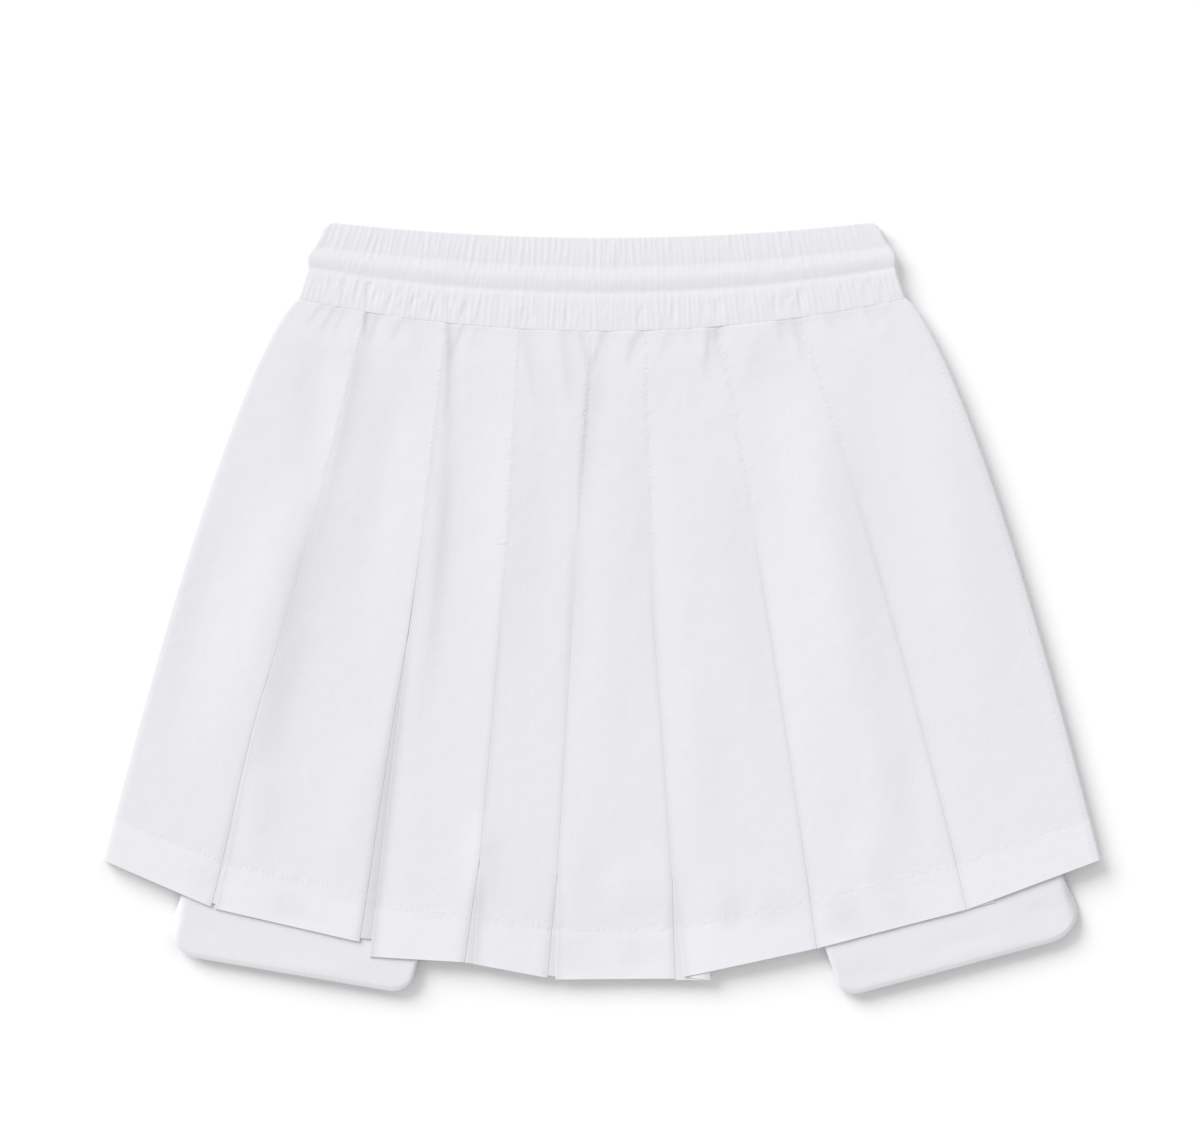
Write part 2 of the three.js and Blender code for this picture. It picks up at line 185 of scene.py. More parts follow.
# Inverted pleats from the left of the view to the right.
FRONT_PLEATS = pleat_table(
    waist_x=(-127, -83.5, -44.5, -5, 22.5, 62.5, 105.5),      # line of the fold at the waist seam,
    release_x=(-150, -96.5, -51.5, -13, 26.5, 81.5, 133),     # where its stitching ends
    release_y=(69, 45, 34.5, 30, 32, 45, 74),
    hem_x=(-210, -128, -71.5, -27, 42.5, 116.5, 197.5),       # and at the hem
    hem_y=(-162.5, -185, -192.5, -201, -200.5, -184.5, -163.5),
    sway=(-3.2, -0.8, 0, 0, 0.8, 0, -0.5),                    # from that line, further down
    opening=(2, 5.5, 5, 4.5, 5, 0.2, 0.2),                    # gap at the hem
    opens=(0.45, 0.25, 0.76, 0.76, 0.78, 0.6, 0.5),           # share of the free length that stays closed
    gape=(0, 0.1, 0.1, 0, 0, 0, 0),                           # how much looser the layers lie at the hem
    step=(1, 8, 1, 1, -1, 0, 0),                              # how much lower the right-hand edge hangs
    depth=(15, 15, 13, 12, 14, 16, 15),                       # reach under the panels
    left_y=(-154.5, -177, -191, -198, -201.5, -187.5, -167),  # hem of the hidden layer
    right_y=(-166, -181.5, -194, -201, -202, -180, -159.5),
    crest=(0.25, 0.3, 0.25, -0.2, -0.2, -0.2, -0.1),          # how high both panels tilt up to the fold
    drop=(0.12, 0.35, 0.2, 0.18, 0.15, 0.2, 0.2),             # how much lower the right-hand one lies
    curl=(0.25, 0.25, 0.25, 0.2, 0.2, 0.15, 0.15),            # how far both sink at the hem
    shade=(0.6, 1, 0.8, 0.5, 0.5, 0.4, 0.4),                  # painted shade of the gap, 1 for its full gain
    sewn=(-1, -1, -1, -1, 1, 1, 1),                           # side of the fold that is stitched
)

# Creases and soft swells. Each runs from start by mid to end, is width wide and stands height above
# the cloth, or sinks into it where height is negative.
CREASE_COLUMNS = ("start", "mid", "end", "width", "height")


def crease_rows(rows, open_start=0):
    """Creases from rows of CREASE_COLUMNS; with open_start they begin at full height, out of a seam."""
    return [dict(zip(CREASE_COLUMNS, row), open_start=open_start) for row in rows]


FRONT_CREASES = crease_rows([
    # puckers that come out of the waist seam
    ((-150, 163), (-156.3, 155), (-161, 149), 1.7, -0.23),
    ((-143, 162), (-148.8, 152.3), (-153.6, 145), 1.8, -0.29),
    ((-138, 160), (-142.3, 151.2), (-145, 145), 1.5, -0.15),
    ((-126.4, 162), (-127, 152), (-126.8, 138), 1.3, -0.77),
    ((-120, 161), (-122.9, 148.5), (-126, 138), 1.4, -0.41),
    ((-104.5, 158), (-110.4, 148.5), (-115, 139), 2, -0.25),
    ((-99.4, 156), (-100.7, 138.8), (-102.5, 122), 3, -0.15),
    ((-83.5, 155), (-81.2, 141.5), (-81.3, 118), 1.4, -0.55),
    ((-73.6, 154), (-77.6, 143.1), (-81.2, 133), 1.3, -0.3),
    ((-65, 153), (-67.5, 145), (-71, 137), 2.1, -0.15),
    ((-44, 152), (-38.6, 133.4), (-30.5, 96), 2.3, -0.33),
    ((-20.3, 151), (-17, 124.7), (-14.5, 104), 2.2, -0.31),
    ((-10.6, 148), (-7.6, 134), (-5.1, 124), 1.6, -0.31),
    ((1.2, 148), (-2.6, 134), (-5.1, 122), 1.5, -0.31),
    ((0.2, 150), (2.6, 142), (4.6, 134), 1.6, -0.2),
    ((24, 152), (16.6, 139.3), (15.6, 124), 1.6, -0.46),
    ((38.6, 153), (35.4, 142), (31.5, 130), 2.2, -0.2),
    ((47, 153), (46.5, 145), (45, 136), 1.6, -0.13),
    ((58.8, 156), (58.2, 138.8), (55.2, 114), 1.8, -0.51),
    ((62.6, 156), (62.4, 146), (64, 134), 1.4, -0.46),
    ((95.5, 159), (98.6, 147.4), (101.5, 136), 2.8, -0.41),
    ((104, 158), (107.7, 143.1), (112.5, 129), 1.8, -0.36),
    ((121.5, 161), (126.8, 150.8), (134, 143), 2.1, -0.25),
    ((131, 160), (136, 152), (143, 145), 2.5, -0.15),
    ((143, 163), (146.3, 154.6), (149.6, 146), 1.7, -0.25),
    ((153, 163), (157, 152.3), (161.5, 140), 2.1, -0.2),
], 1) + crease_rows([
    # puckers that begin below it
    ((0.4, 132), (-0.8, 113), (-2.5, 88), 1.8, -0.15),
    ((63.5, 142), (65.9, 132.3), (69.5, 119), 1.8, -0.2),
    ((88, 150), (84, 132.3), (79, 112), 5.2, -0.23),
    # grooves that run on down the panels
    ((-126.8, 153), (-137.5, 96), (-160, 0), 2.8, -0.42),
    ((-81.8, 152), (-82.2, 112), (-83.9, 50), 1.7, -0.5),
    ((-83, 96), (-87.5, 12), (-103, -104), 2.4, -0.62),
    ((-4, 146), (-8.8, 84), (-14.5, 10), 2.2, -0.6),
    ((-12.5, 45), (-15.6, -10), (-20.5, -85), 2.9, -0.35),
    ((-52, 120), (-44, 88), (-45, 30), 6, -0.21),
    # soft swells
    ((-149, 72), (-176, -42), (-207, -158), 5, -0.42),
    ((-158, 84), (-183, -14), (-211, -116), 15, 1.4),
    ((-200, 60), (-220, -22), (-240, -116), 12, -0.8),
    ((-154, 150), (-153, 106), (-158, 56), 10, -0.8),
    ((-165, 0), (-181, -62), (-194, -124), 7, 0.7),
    ((-112, 124), (-121, 50), (-142, -60), 12, -0.8),
    ((-122, -60), (-134, -110), (-146, -160), 11, 0.6),
    ((-43, 138), (-50, 36), (-62, -80), 13, 0.8),
    ((24, 120), (29, 24), (38, -90), 9, -0.7),
    ((4, 90), (2, -30), (4, -150), 13, 0.5),
    ((76, 80), (91, -20), (108, -140), 13, -1.2),
    ((106, 142), (130, 8), (155, -136), 18, 2.3),
    ((147, -60), (152, -110), (158, -150), 9, 0.6),
    ((166, -60), (170, -110), (176, -150), 8, -0.4),
    ((172, 140), (196, 26), (216, -96), 19, 1.5),
    ((48, -20), (52, -90), (58, -160), 12, 0.6),
    # the hem pulled by its stitching
    ((0, -148), (22, -153), (46, -150), 11, 0.75),
    ((-64, -108), (-65, -142), (-68, -186), 7, 0.98),
    ((-18, -120), (-16, -150), (-15, -196), 8, 0.35),
    ((32, -124), (36, -158), (38, -198), 7, 0.35),
    ((60, -140), (63, -160), (66, -186), 5, 0.49),
    ((140, -118), (146, -144), (152, -172), 8, 0.98),
    ((-178, -84), (-186, -112), (-195, -150), 9, 0.7),
    ((69, -177), (70.5, -166), (73, -150), 4.6, -0.29),
    ((82, -178), (84, -166), (86, -152), 4.2, 0.25),
    ((93, -176), (95, -164), (98, -150), 4.4, -0.29),
    ((128, -180), (130, -168), (133, -152), 5.2, -0.46),
    ((147, -176), (150, -166), (153, -150), 4.6, 0.29),
    ((158, -174), (161, -163), (165, -148), 4.8, -0.29),
    ((-212, -158), (-216, -148), (-222, -135), 5, -0.29),
    ((-175, -172), (-172, -160), (-168, -148), 5, -0.35),
    ((-20, -200), (-18, -188), (-17, -172), 5, -0.29),
    ((18, -200), (17, -188), (17, -174), 5.4, -0.29),
])


def lerp(a, b, t):
    return a + (b - a) * t


def smooth(t):
    t = np.clip(t, 0, 1)
    return t * t * (3 - 2 * t)


def bell(distance, width):
    return np.exp(-(distance / width) ** 2)


def round_edge(distance, radius):
    """Height of a rounded edge: 0 at the edge itself, 1 from its radius on."""
    return np.sqrt(1 - np.clip(1 - distance / radius, 0, 1) ** 2)


def through_three(start, middle, end, mid, t):
    """The quadratic through start at 0, middle at mid and end at 1."""
    bend = ((middle - start) / mid - (end - start)) / (mid - 1)
    return start + (end - start - bend) * t + bend * t * t


def waist_seam_y(x):
    return WAIST_SEAM_Y + WAIST_SEAM_RISE * (x / WAIST_SEAM_HALF) ** 2


def hem_arc_y(x):
    return lerp(HEM_CENTRE_Y, HEM_CORNER_Y, (x / HEM_HALF) ** 2)


def near_path(x, y, path, reach):
    """Which points lie within reach of a path, their offsets from it and how far along it, 0 to 1."""
    low = path.min(0) - reach
    high = path.max(0) + reach
    near = (x > low[0]) & (x < high[0]) & (y > low[1]) & (y < high[1])
    points = np.stack([x[near], y[near]], axis=1)[:, None, :]
    begin = path[None, :-1, :]
    run = path[None, 1:, :] - begin
    share = np.clip(((points - begin) * run).sum(2) / (run ** 2).sum(2), 0, 1)
    offset = points - begin - share[..., None] * run
    nearest = (offset ** 2).sum(2).argmin(1)
    pick = np.arange(len(nearest))
    return near, offset[pick, nearest], (nearest + share[pick, nearest]) / (len(path) - 1)


# A pressed groove falls off steeply on one flank and rises gently on the one that faces the lamp.
FAR_FLANK = np.array([np.cos(np.radians(LAMP_AZIMUTH)), np.sin(np.radians(LAMP_AZIMUTH))]) * -1
GENTLE = 3.2                      # how many times wider that flank is
GROOVE_WIDTH = 6                  # wider creases are soft swells
GROWS_OVER = 0.3                  # shares of a crease's length
FADES_OVER = 0.55


def crease_heights(x, y, creases):
    """How far the creases lift the cloth at the points x, y."""
    height = np.zeros(x.shape)
    steps = np.linspace(0, 1, 33)
    for crease in creases:
        path = np.stack([
            through_three(crease["start"][i], crease["mid"][i], crease["end"][i], 0.5, steps)
            for i in (0, 1)
        ], axis=1)
        spread = GENTLE if crease["height"] < 0 and crease["width"] < GROOVE_WIDTH else 1
        near, offset, along = near_path(x, y, path, 3 * spread * crease["width"])
        distance = np.linalg.norm(offset, axis=1)
        facing = smooth(0.5 + offset @ FAR_FLANK / np.maximum(distance, 1e-6))
        width = crease["width"] * lerp(1, spread, facing)
        grown = np.maximum(smooth(along / GROWS_OVER), crease["open_start"])
        faded = smooth((1 - along) / FADES_OVER)
        height[near] += crease["height"] * bell(distance, width) * grown * faded
    return height


def fold_middle(fold):
    return np.stack([(fold["left"][i] + fold["right"][i]) / 2 for i in (0, 1)], axis=1)


def painted_fold_shades(x, y, pleats):
    """How much painted shade the cloth gets for lying in or beside a fold, 0 to 1."""
    shade = np.zeros(x.shape)
    v = np.linspace(0, 1, 60)
    for pleat in pleats:
        fold = pleat_lines(pleat, v)
        near, offset, along = near_path(x, y, fold_middle(fold), HOLLOW_WITHIN)
        half = np.interp(along, v, fold["gap"]) / 2
        depth = np.interp(along, v, lerp(HOLLOW_SEWN, HOLLOW_CLOSED, fold["opened"]))
        depth = lerp(depth, pleat["shade"], smooth(half / HOLLOW_WIDE))
        beside = np.maximum(0, np.abs(offset[:, 0]) - half)
        reach = np.where(offset[:, 0] < 0, HOLLOW_LEFT, HOLLOW_RIGHT)
        reach = reach * lerp(0.5, 1, smooth(half / HOLLOW_WIDE))
        shade[near] = np.maximum(shade[near], depth * bell(beside, reach))
    return shade


def painted_groove_shades(x, y, creases):
    """The same painted shade for the pressed grooves."""
    grooves = [c for c in creases if c["height"] < 0 and c["width"] < GROOVE_WIDTH]
    return np.clip(-GROOVE_SHADE * crease_heights(x, y, grooves), 0, 1)


def turn(x, y, side, start_z, end_z, count, width=1):
    """Columns round a fold: the cloth runs towards side, turns at x and comes back."""
    radius = np.abs(start_z - end_z) / 2
    middle = (start_z + end_z) / 2
    return [
        (x - side * width * radius * (1 - np.sin(angle)), y, middle + (start_z - middle) * np.cos(angle))
        for angle in np.linspace(0, np.pi, count)
    ]


def pleat_lines(pleat, v):
    """Both fold edges of a pleat and its two hidden creases, at each share v of the length."""
    top_y = waist_seam_y(pleat["waist_x"]) - SEAM_GAP
    release = (top_y - pleat["release_y"]) / (top_y - pleat["hem_y"])
    x = through_three(pleat["waist_x"], pleat["release_x"], pleat["hem_x"], release, v)
    x += pleat["sway"] * np.sin(np.pi * np.clip((v - SWAY_FROM) / (1 - SWAY_FROM), 0, 1)) ** 2
    y = lerp(top_y, pleat["hem_y"], v)
    freed = np.clip((v - release) / (1 - release), 0, 1)
    opened = smooth(freed / FREED_OVER)
    parted = np.clip((freed - pleat["opens"]) / (1 - pleat["opens"]), 0, 1)
    gap = pleat["opening"] * parted ** OPENING_POWER
    half = (lerp(-SEWN_OVERLAP, SLIT, opened) + gap) / 2
    step = pleat["step"] * freed / 2
    depth = lerp(PLEAT_DEPTH_WAIST, pleat["depth"], smooth(v))
    hidden = smooth((v - HIDDEN_HEM_FROM) / (1 - HIDDEN_HEM_FROM))
    rounded = FOLD_ROUNDING * opened
    curl = pleat["curl"] * freed ** 2
    lowered = lerp(SEWN_STEP, pleat["drop"], opened) + curl
    top_left = PANEL_LEVEL - rounded - curl
    top_right = PANEL_LEVEL - lowered
    layer = lerp(PRESSED, HEM_PRESSED, smooth((v - HEM_LAYERS_FROM) / HEM_LAYERS_OVER))
    layer += pleat["gape"] / 2 * freed
    return dict(
        left=(x - half, y + step),
        right=(x + half, y - step),
        crease_left=(x - half - depth, y + hidden * (pleat["left_y"] - pleat["hem_y"])),
        crease_right=(x + half + depth, y + hidden * (pleat["right_y"] - pleat["hem_y"])),
        gap=gap,
        opened=opened,
        rounded=rounded,
        curl=curl,
        lowered=lowered,
        top_left=top_left,
        top_right=top_right,
        return_left=top_left - layer,
        return_right=top_right - layer,
        underlay=np.minimum(top_left, top_right) - 2 * layer,
        floor_left=top_left - FLOOR_LAYERS * layer,
        floor_right=top_right - FLOOR_LAYERS * layer,
    )


def edge_x(edge, y):
    """Where a fold's edge runs at the heights y; it's carried on straight past the hem."""
    slope = (edge[0][-1] - edge[0][-5]) / (edge[1][-1] - edge[1][-5])
    return np.interp(-y, -edge[1], edge[0]) + slope * np.minimum(0, y - edge[1][-1])


def side_line(side, v):
    top_y = waist_seam_y(WAIST_SEAM_HALF) - SEAM_GAP
    return side * lerp(WAIST_SEAM_HALF, HEM_HALF, v ** SIDE_CURVE), lerp(top_y, HEM_CORNER_Y, v)


def pleat_seams(pleats):
    """The edge-stitching of the pleats, from the waist to where each is released."""
    lines = []
    for pleat in pleats:
        top_y = waist_seam_y(pleat["waist_x"])
        release = (top_y - pleat["release_y"]) / (top_y - pleat["hem_y"])
        v = np.linspace(0.004, release, 24)
        fold = pleat_lines(pleat, v)["left" if pleat["sewn"] < 0 else "right"]
        lines.append(np.stack([fold[0] + pleat["sewn"] * EDGE_STITCH, fold[1]], axis=1))
    return lines


def hem_seams(pleats):
    """The hem's stitching, panel by panel."""
    v = np.array([HEM_SHARE])
    edges = [side_line(-1, v)]
    for pleat in pleats:
        fold = pleat_lines(pleat, v)
        edges += [fold["left"], fold["right"]]
    edges.append(side_line(1, v))
    lines = []
    for start, end in zip(edges[::2], edges[1::2]):
        t = np.linspace(0.02, 0.98, 20)
        lines.append(np.stack([lerp(start[0], end[0], t), lerp(start[1], end[1], t)], axis=1))
    return lines


# Distances of a panel's columns from a fold edge; the rest of a panel is spread evenly. The first
# keeps the shading of the fold's turn off the panel, as EDGE_ROW does along the cloth's raw edges.
NEAR_FOLD = [0.25, 0.9, 1.8, 2.7, 3.8, 5.6]
EDGE_ROW = 0.0007                 # share of the length, as are the next two
TOP_ROW = 0.004
LAST_ROW = 0.997
PANEL_MIDDLE = 11
SIDE_MIDDLE = 18


def cloth_rows(stops, counts):
    """Shares of the length: that many rows from each stop to the next, then the raw edge's two."""
    stretches = zip(stops, stops[1:], counts)
    rows = [np.linspace(begin, end, count, endpoint=end == LAST_ROW) for begin, end, count in stretches]
    return np.concatenate([*rows, [1 - EDGE_ROW, 1]])


def lift_before(fold, away):
    """Height over its middle of the panel that ends at a fold, that far from it."""
    fall = fold["rounded"] * bell(away, FOLD_REACH)
    return -fall - fold["curl"] * bell(away, CURL_REACH)


def lift_after(fold, away):
    """The same for the panel that begins there, which lies lowered."""
    return -fold["lowered"] * bell(away, DROP_REACH)


def crest_heights(x, y, pleats):
    """How far the panels, and all that lies under them, tilt up to the folds."""
    height = np.zeros(x.shape)
    for pleat in pleats:
        fold = pleat_lines(pleat, np.linspace(0, 1, 30))
        near, offset, along = near_path(x, y, fold_middle(fold), 4 * CREST_REACH)
        tilt = np.exp(-np.linalg.norm(offset, axis=1) / CREST_REACH)
        height[near] += pleat["crest"] * smooth(along / IRONED_OVER) * tilt
    return height


def pleated_width(pleats, v, side_roll, side_drop, sag):
    """Points of a pleated cloth, a row for each share v from waist to hem, as x, y and level."""
    folds = [pleat_lines(pleat, v) for pleat in pleats]
    columns = []
    ironed = smooth(v / IRONED_OVER)

    def along_line(start, end, level, shares):
        for t in shares:
            columns.append((lerp(start[0], end[0], t), lerp(start[1], end[1], t), level))

    def side_panel(side, fold, lift):
        edge = side_line(side, v)
        width = np.abs(fold[0] - edge[0])
        away = [side_roll * (1 - np.cos(a)) + 0 * width for a in np.linspace(0, np.pi / 2, 9)]
        away += [lerp(side_roll, width - NEAR_FOLD[-1], t) for t in np.linspace(0, 1, SIDE_MIDDLE)[1:]]
        away += [width - d for d in NEAR_FOLD[-2::-1]]
        if side > 0:
            away.reverse()
        for d in away:
            fall = side_drop * (1 - round_edge(d, side_roll))
            along_line(edge, fold, PANEL_LEVEL - fall + lift(width - d), [d / width])

    def panel(start, end, before, after):
        width = end[0] - start[0]
        away = [d + 0 * width for d in NEAR_FOLD[:-1]]
        spread = np.linspace(0, 1, PANEL_MIDDLE + 2)
        away += [lerp(NEAR_FOLD[-1], width - NEAR_FOLD[-1], t) for t in spread]
        away += [width - d for d in NEAR_FOLD[-2::-1]]
        for d in away:
            lift = lift_after(before, d) + lift_before(after, width - d)
            lowered = sag * np.sin(np.pi * d / width) * ironed
            along_line(start, end, PANEL_LEVEL + lift - lowered, [d / width])

    side_panel(-1, folds[0]["left"], lambda away: lift_before(folds[0], away))
    for k, fold in enumerate(folds):
        columns.extend(turn(*fold["left"], 1, fold["top_left"], fold["return_left"], 5))
        along_line(fold["left"], fold["crease_left"], fold["return_left"], [0.5])
        columns.extend(turn(*fold["crease_left"], -1, fold["return_left"], fold["underlay"], 3))
        hidden_width = fold["crease_right"][0] - fold["crease_left"][0]
        from_left = fold["left"][0] - fold["crease_left"][0]
        for beside, across, raised in FLOOR:
            beside = beside * (1 if abs(beside) > 0.5 else np.minimum(1, fold["gap"] / FLOOR_FULL_GAP))
            t = (from_left + beside + across * fold["gap"]) / hidden_width
            floor_y = lerp(fold["crease_left"][1], fold["crease_right"][1], t)
            floor_x = lerp(edge_x(fold["left"], floor_y), edge_x(fold["right"], floor_y), across)
            swollen = lerp(fold["floor_left"], fold["floor_right"], across)
            floor = lerp(fold["underlay"], swollen, raised * smooth(fold["gap"] / FLOOR_RISE_GAP))
            columns.append((floor_x + beside, floor_y, floor))
        columns.extend(turn(*fold["crease_right"], 1, fold["underlay"], fold["return_right"], 3))
        along_line(fold["crease_right"], fold["right"], fold["return_right"], [0.5])
        columns.extend(turn(*fold["right"], -1, fold["return_right"], fold["top_right"], 5, SHARP_TURN))
        if k + 1 < len(folds):
            panel(fold["right"], folds[k + 1]["left"], fold, folds[k + 1])
    side_panel(1, folds[-1]["right"], lambda away: lift_after(folds[-1], away))
    points = np.stack([np.stack(column, axis=1) for column in columns], axis=1)
    points[0, :, 1] = waist_seam_y(points[0, :, 0]) + TUCK
    return points


def woven_grid(name, points):
    """A grid of cloth through rows of points, its last row first in the mesh.

    Its UV map runs in metres of cloth, so that a weave follows the folds."""
    rows, columns = points.shape[:2]
    bpy.ops.object.select_all(action="DESELECT")
    bpy.ops.mesh.primitive_grid_add(x_subdivisions=columns - 1, y_subdivisions=rows - 1, size=1)
    cloth = bpy.context.object
    cloth.name = name
    placed = points[::-1] * MM
    cloth.data.vertices.foreach_set("co", placed.ravel())
    across = np.zeros((rows, columns))
    across[:, 1:] = np.cumsum(np.linalg.norm(np.diff(placed, axis=1), axis=2), axis=1)
    across -= across[:, -1:] / 2
    down = np.zeros((rows, columns))
    down[1:] = np.cumsum(np.linalg.norm(np.diff(placed, axis=0), axis=2), axis=0).mean(1, keepdims=True)
    uv = np.stack([across, down], axis=2).reshape(-1, 2)
    corner = np.zeros(len(cloth.data.loops), int)
    cloth.data.loops.foreach_get("vertex_index", corner)
    cloth.data.uv_layers[0].data.foreach_set("uv", uv[corner].ravel())
    return cloth


def vertex_places(cloth):
    """The mesh's vertices in millimetres, a row each."""
    places = np.zeros(len(cloth.data.vertices) * 3)
    cloth.data.vertices.foreach_get("co", places)
    return places.reshape(-1, 3) / MM


def make_finer(cloth, chosen, cuts):
    """Subdivides the chosen faces, where small gathers need a closer mesh."""
    bpy.ops.object.mode_set(mode="EDIT")
    bpy.ops.mesh.select_mode(type="FACE")
    bpy.ops.mesh.select_all(action="DESELECT")
    bpy.ops.object.mode_set(mode="OBJECT")
    cloth.data.polygons.foreach_set("select", chosen)
    bpy.ops.object.mode_set(mode="EDIT")
    bpy.ops.mesh.subdivide(number_cuts=cuts)
    bpy.ops.object.mode_set(mode="OBJECT")


def mark(cloth, name, values):
    """Gives every vertex a value that the cloth's material reads by that name."""
    attribute = cloth.data.attributes.new(name, "FLOAT", "POINT")
    attribute.data.foreach_set("value", values.astype(np.float32))


DOUBLED_GAIN = 1.03               # doubled cloth is whiter
YARN_TINT = 0.035                 # how unevenly white the yarn is
WAVE_SCALE = 0.314                # gives one wave a thread
SLUB_SCALE = 0.33
SLUBS_A_METRE = 18
WEAVE_DEPTH = 0.06
WEAVE_STRENGTH = 0.35
CRUMPLE_SCALE = 70                # bumps a metre
CRINKLE_SCALE = 260
COTTON_SURFACE = {
    "Roughness": 0.88,
    "Specular IOR Level": 0.25,
    "Sheen Weight": 0.12,
    "Sheen Roughness": 0.5,
}
PUCKER_REACH = 2.2                # from a line of stitching
PUCKER_DEPTH = 0.3


def puckering(x, y, lines):
    """1 on a line of stitching, falling off over the cloth that it puckers."""
    puckered = np.zeros(x.shape)
    for line in lines:
        near, offset, _ = near_path(x, y, line, 3 * PUCKER_REACH)
        nearness = np.exp(-(offset ** 2).sum(1) / PUCKER_REACH ** 2)
        puckered[near] = np.maximum(puckered[near], nearness)
    return puckered


def give_wall(cloth, thickness, hem_vertices=0):
    """Turns the sheet into a closed wall; the hem's vertices come first and keep all of it."""
    wall = cloth.modifiers.new("wall", "SOLIDIFY")
    wall.thickness = thickness * MM
    wall.offset = 0
    if hem_vertices:
        hem = cloth.vertex_groups.new(name="hem")
        hem.add(list(range(hem_vertices)), 1, "REPLACE")
        wall.vertex_group = "hem"
        wall.thickness_vertex_group = SINGLE_CLOTH
    bpy.ops.object.modifier_apply(modifier="wall")
    bpy.ops.object.shade_smooth()


def add_node(material, kind, inputs, **settings):
    """Adds a node with those settings and inputs."""
    node = material.node_tree.nodes.new(kind)
    for name, value in settings.items():
        setattr(node, name, value)
    set_inputs(material, node, inputs)
    return node


def tinted(material, colour, attribute, gain):
    """The colour, multiplied by gain where the cloth's attribute is 1."""
    marked = add_node(material, "ShaderNodeAttribute", {}, attribute_name=attribute)
    inputs = {"Factor": marked.outputs["Fac"], "A": colour, "B": (gain, gain, gain, 1)}
    mix = add_node(material, "ShaderNodeMix", inputs, data_type="RGBA", blend_type="MULTIPLY")
    return mix.outputs["Result"]


def raised(material, height, distance, strength=1, over=None):
    """A bump of that distance in millimetres, on top of another one."""
    inputs = {"Strength": strength, "Distance": distance * MM, "Height": height}
    if over:
        inputs["Normal"] = over
    return add_node(material, "ShaderNodeBump", inputs).outputs["Normal"]


def cotton(name, colour, thread, crumple):
    """White woven cotton: a plain weave of that thread, slightly uneven, softly crumpled, with painted
    shade in its folds.
    """
    material = bpy.data.materials.new(name)
    material.use_nodes = True
    shader = material.node_tree.nodes["Principled BSDF"]
    set_inputs(material, shader, COTTON_SURFACE)
    position = add_node(material, "ShaderNodeTexCoord", {})

    # warp and weft, as two trains of waves across each other
    threads = []
    for direction in ("X", "Y"):
        inputs = {"Vector": position.outputs["UV"], "Scale": WAVE_SCALE / (thread * MM)}
        inputs |= {"Distortion": 1.2, "Detail": 1, "Detail Scale": 2}
        wave = add_node(material, "ShaderNodeTexWave", inputs, bands_direction=direction)
        threads.append(wave.outputs["Fac"])
    weave = add_node(material, "ShaderNodeMath", dict(enumerate(threads)), operation="MULTIPLY")

    # slubs: threads that run thicker for a few centimetres
    inputs = {"Vector": position.outputs["UV"], "Scale": (SLUB_SCALE / (thread * MM), SLUBS_A_METRE, 1)}
    stretch = add_node(material, "ShaderNodeMapping", inputs)
    inputs = {"Vector": stretch.outputs["Vector"], "Scale": 1, "Detail": 2}
    slub = add_node(material, "ShaderNodeTexNoise", inputs)
    inputs = {"Factor": 0.5, "A": slub.outputs["Fac"], "B": weave.outputs["Value"]}
    yarn = add_node(material, "ShaderNodeMix", inputs, data_type="FLOAT")
    inputs = {"Factor": yarn.outputs["Result"]}
    inputs["A"] = (*[(1 - YARN_TINT) * c for c in colour], 1)
    inputs["B"] = (*[(1 + YARN_TINT) * c for c in colour], 1)
    tint = add_node(material, "ShaderNodeMix", inputs, data_type="RGBA")
    whiter = tinted(material, tint.outputs["Result"], "doubled", DOUBLED_GAIN)
    # painted shade: the cloth is painted greyer in the gaps of the folds and in the pressed grooves
    painted_shade_colour = tinted(material, whiter, "painted_shade", PAINTED_SHADE_GAIN)

    # the weave, the soft unevenness of washed cotton, and the crinkle along a line of stitching
    woven = raised(material, weave.outputs["Value"], WEAVE_DEPTH, WEAVE_STRENGTH)
    inputs = {"Vector": position.outputs["Object"], "Scale": CRUMPLE_SCALE, "Detail": 4, "Roughness": 0.55}
    soft = add_node(material, "ShaderNodeTexNoise", inputs)
    crumpled = raised(material, soft.outputs["Fac"], crumple, over=woven)
    inputs = {"Vector": position.outputs["Object"], "Scale": CRINKLE_SCALE, "Detail": 1}
    crinkle = add_node(material, "ShaderNodeTexNoise", inputs)
    puckered = add_node(material, "ShaderNodeAttribute", {}, attribute_name="puckered")
    inputs = {0: crinkle.outputs["Fac"], 1: 0.5}
    centred = add_node(material, "ShaderNodeMath", inputs, operation="SUBTRACT")
    inputs = {0: centred.outputs["Value"], 1: puckered.outputs["Fac"]}
    drawn = add_node(material, "ShaderNodeMath", inputs, operation="MULTIPLY")
    crinkled = raised(material, drawn.outputs["Value"], PUCKER_DEPTH, over=crumpled)
    set_inputs(material, shader, {"Base Color": painted_shade_colour, "Normal": crinkled})
    return material


STACK_HEIGHT = 3.6                # the front's folded layers
FRONT_STACK_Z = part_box("skirt_front")[1].z / MM - STACK_HEIGHT
SIDE_ROLL = 1.3
FRONT_SIDE_DROP = 7
PANEL_SAG = 0.2
GATHERED_Y = 105                  # above this the cloth is gathered, and its mesh is finer
FINER_WIDTH = 1.9                 # faces wider than that are cut up
FINER_DEPTH = 0.9                 # and only those of the panels themselves
FINER_SHADE = 0.02
HEM_RAISED = 0.08                 # the turned-up hem stands out below its stitching
HEM_RAISED_OVER = 0.012           # a share of the length
HEM_GROOVE = 0.07                 # which pulls a groove
GROOVE_SHARE = 0.003              # half of its width, as a share of the length
SEAM_LEVEL = 0.49                 # below the panels, where the cloth comes out of the waist seam
SEAM_REACH = 13
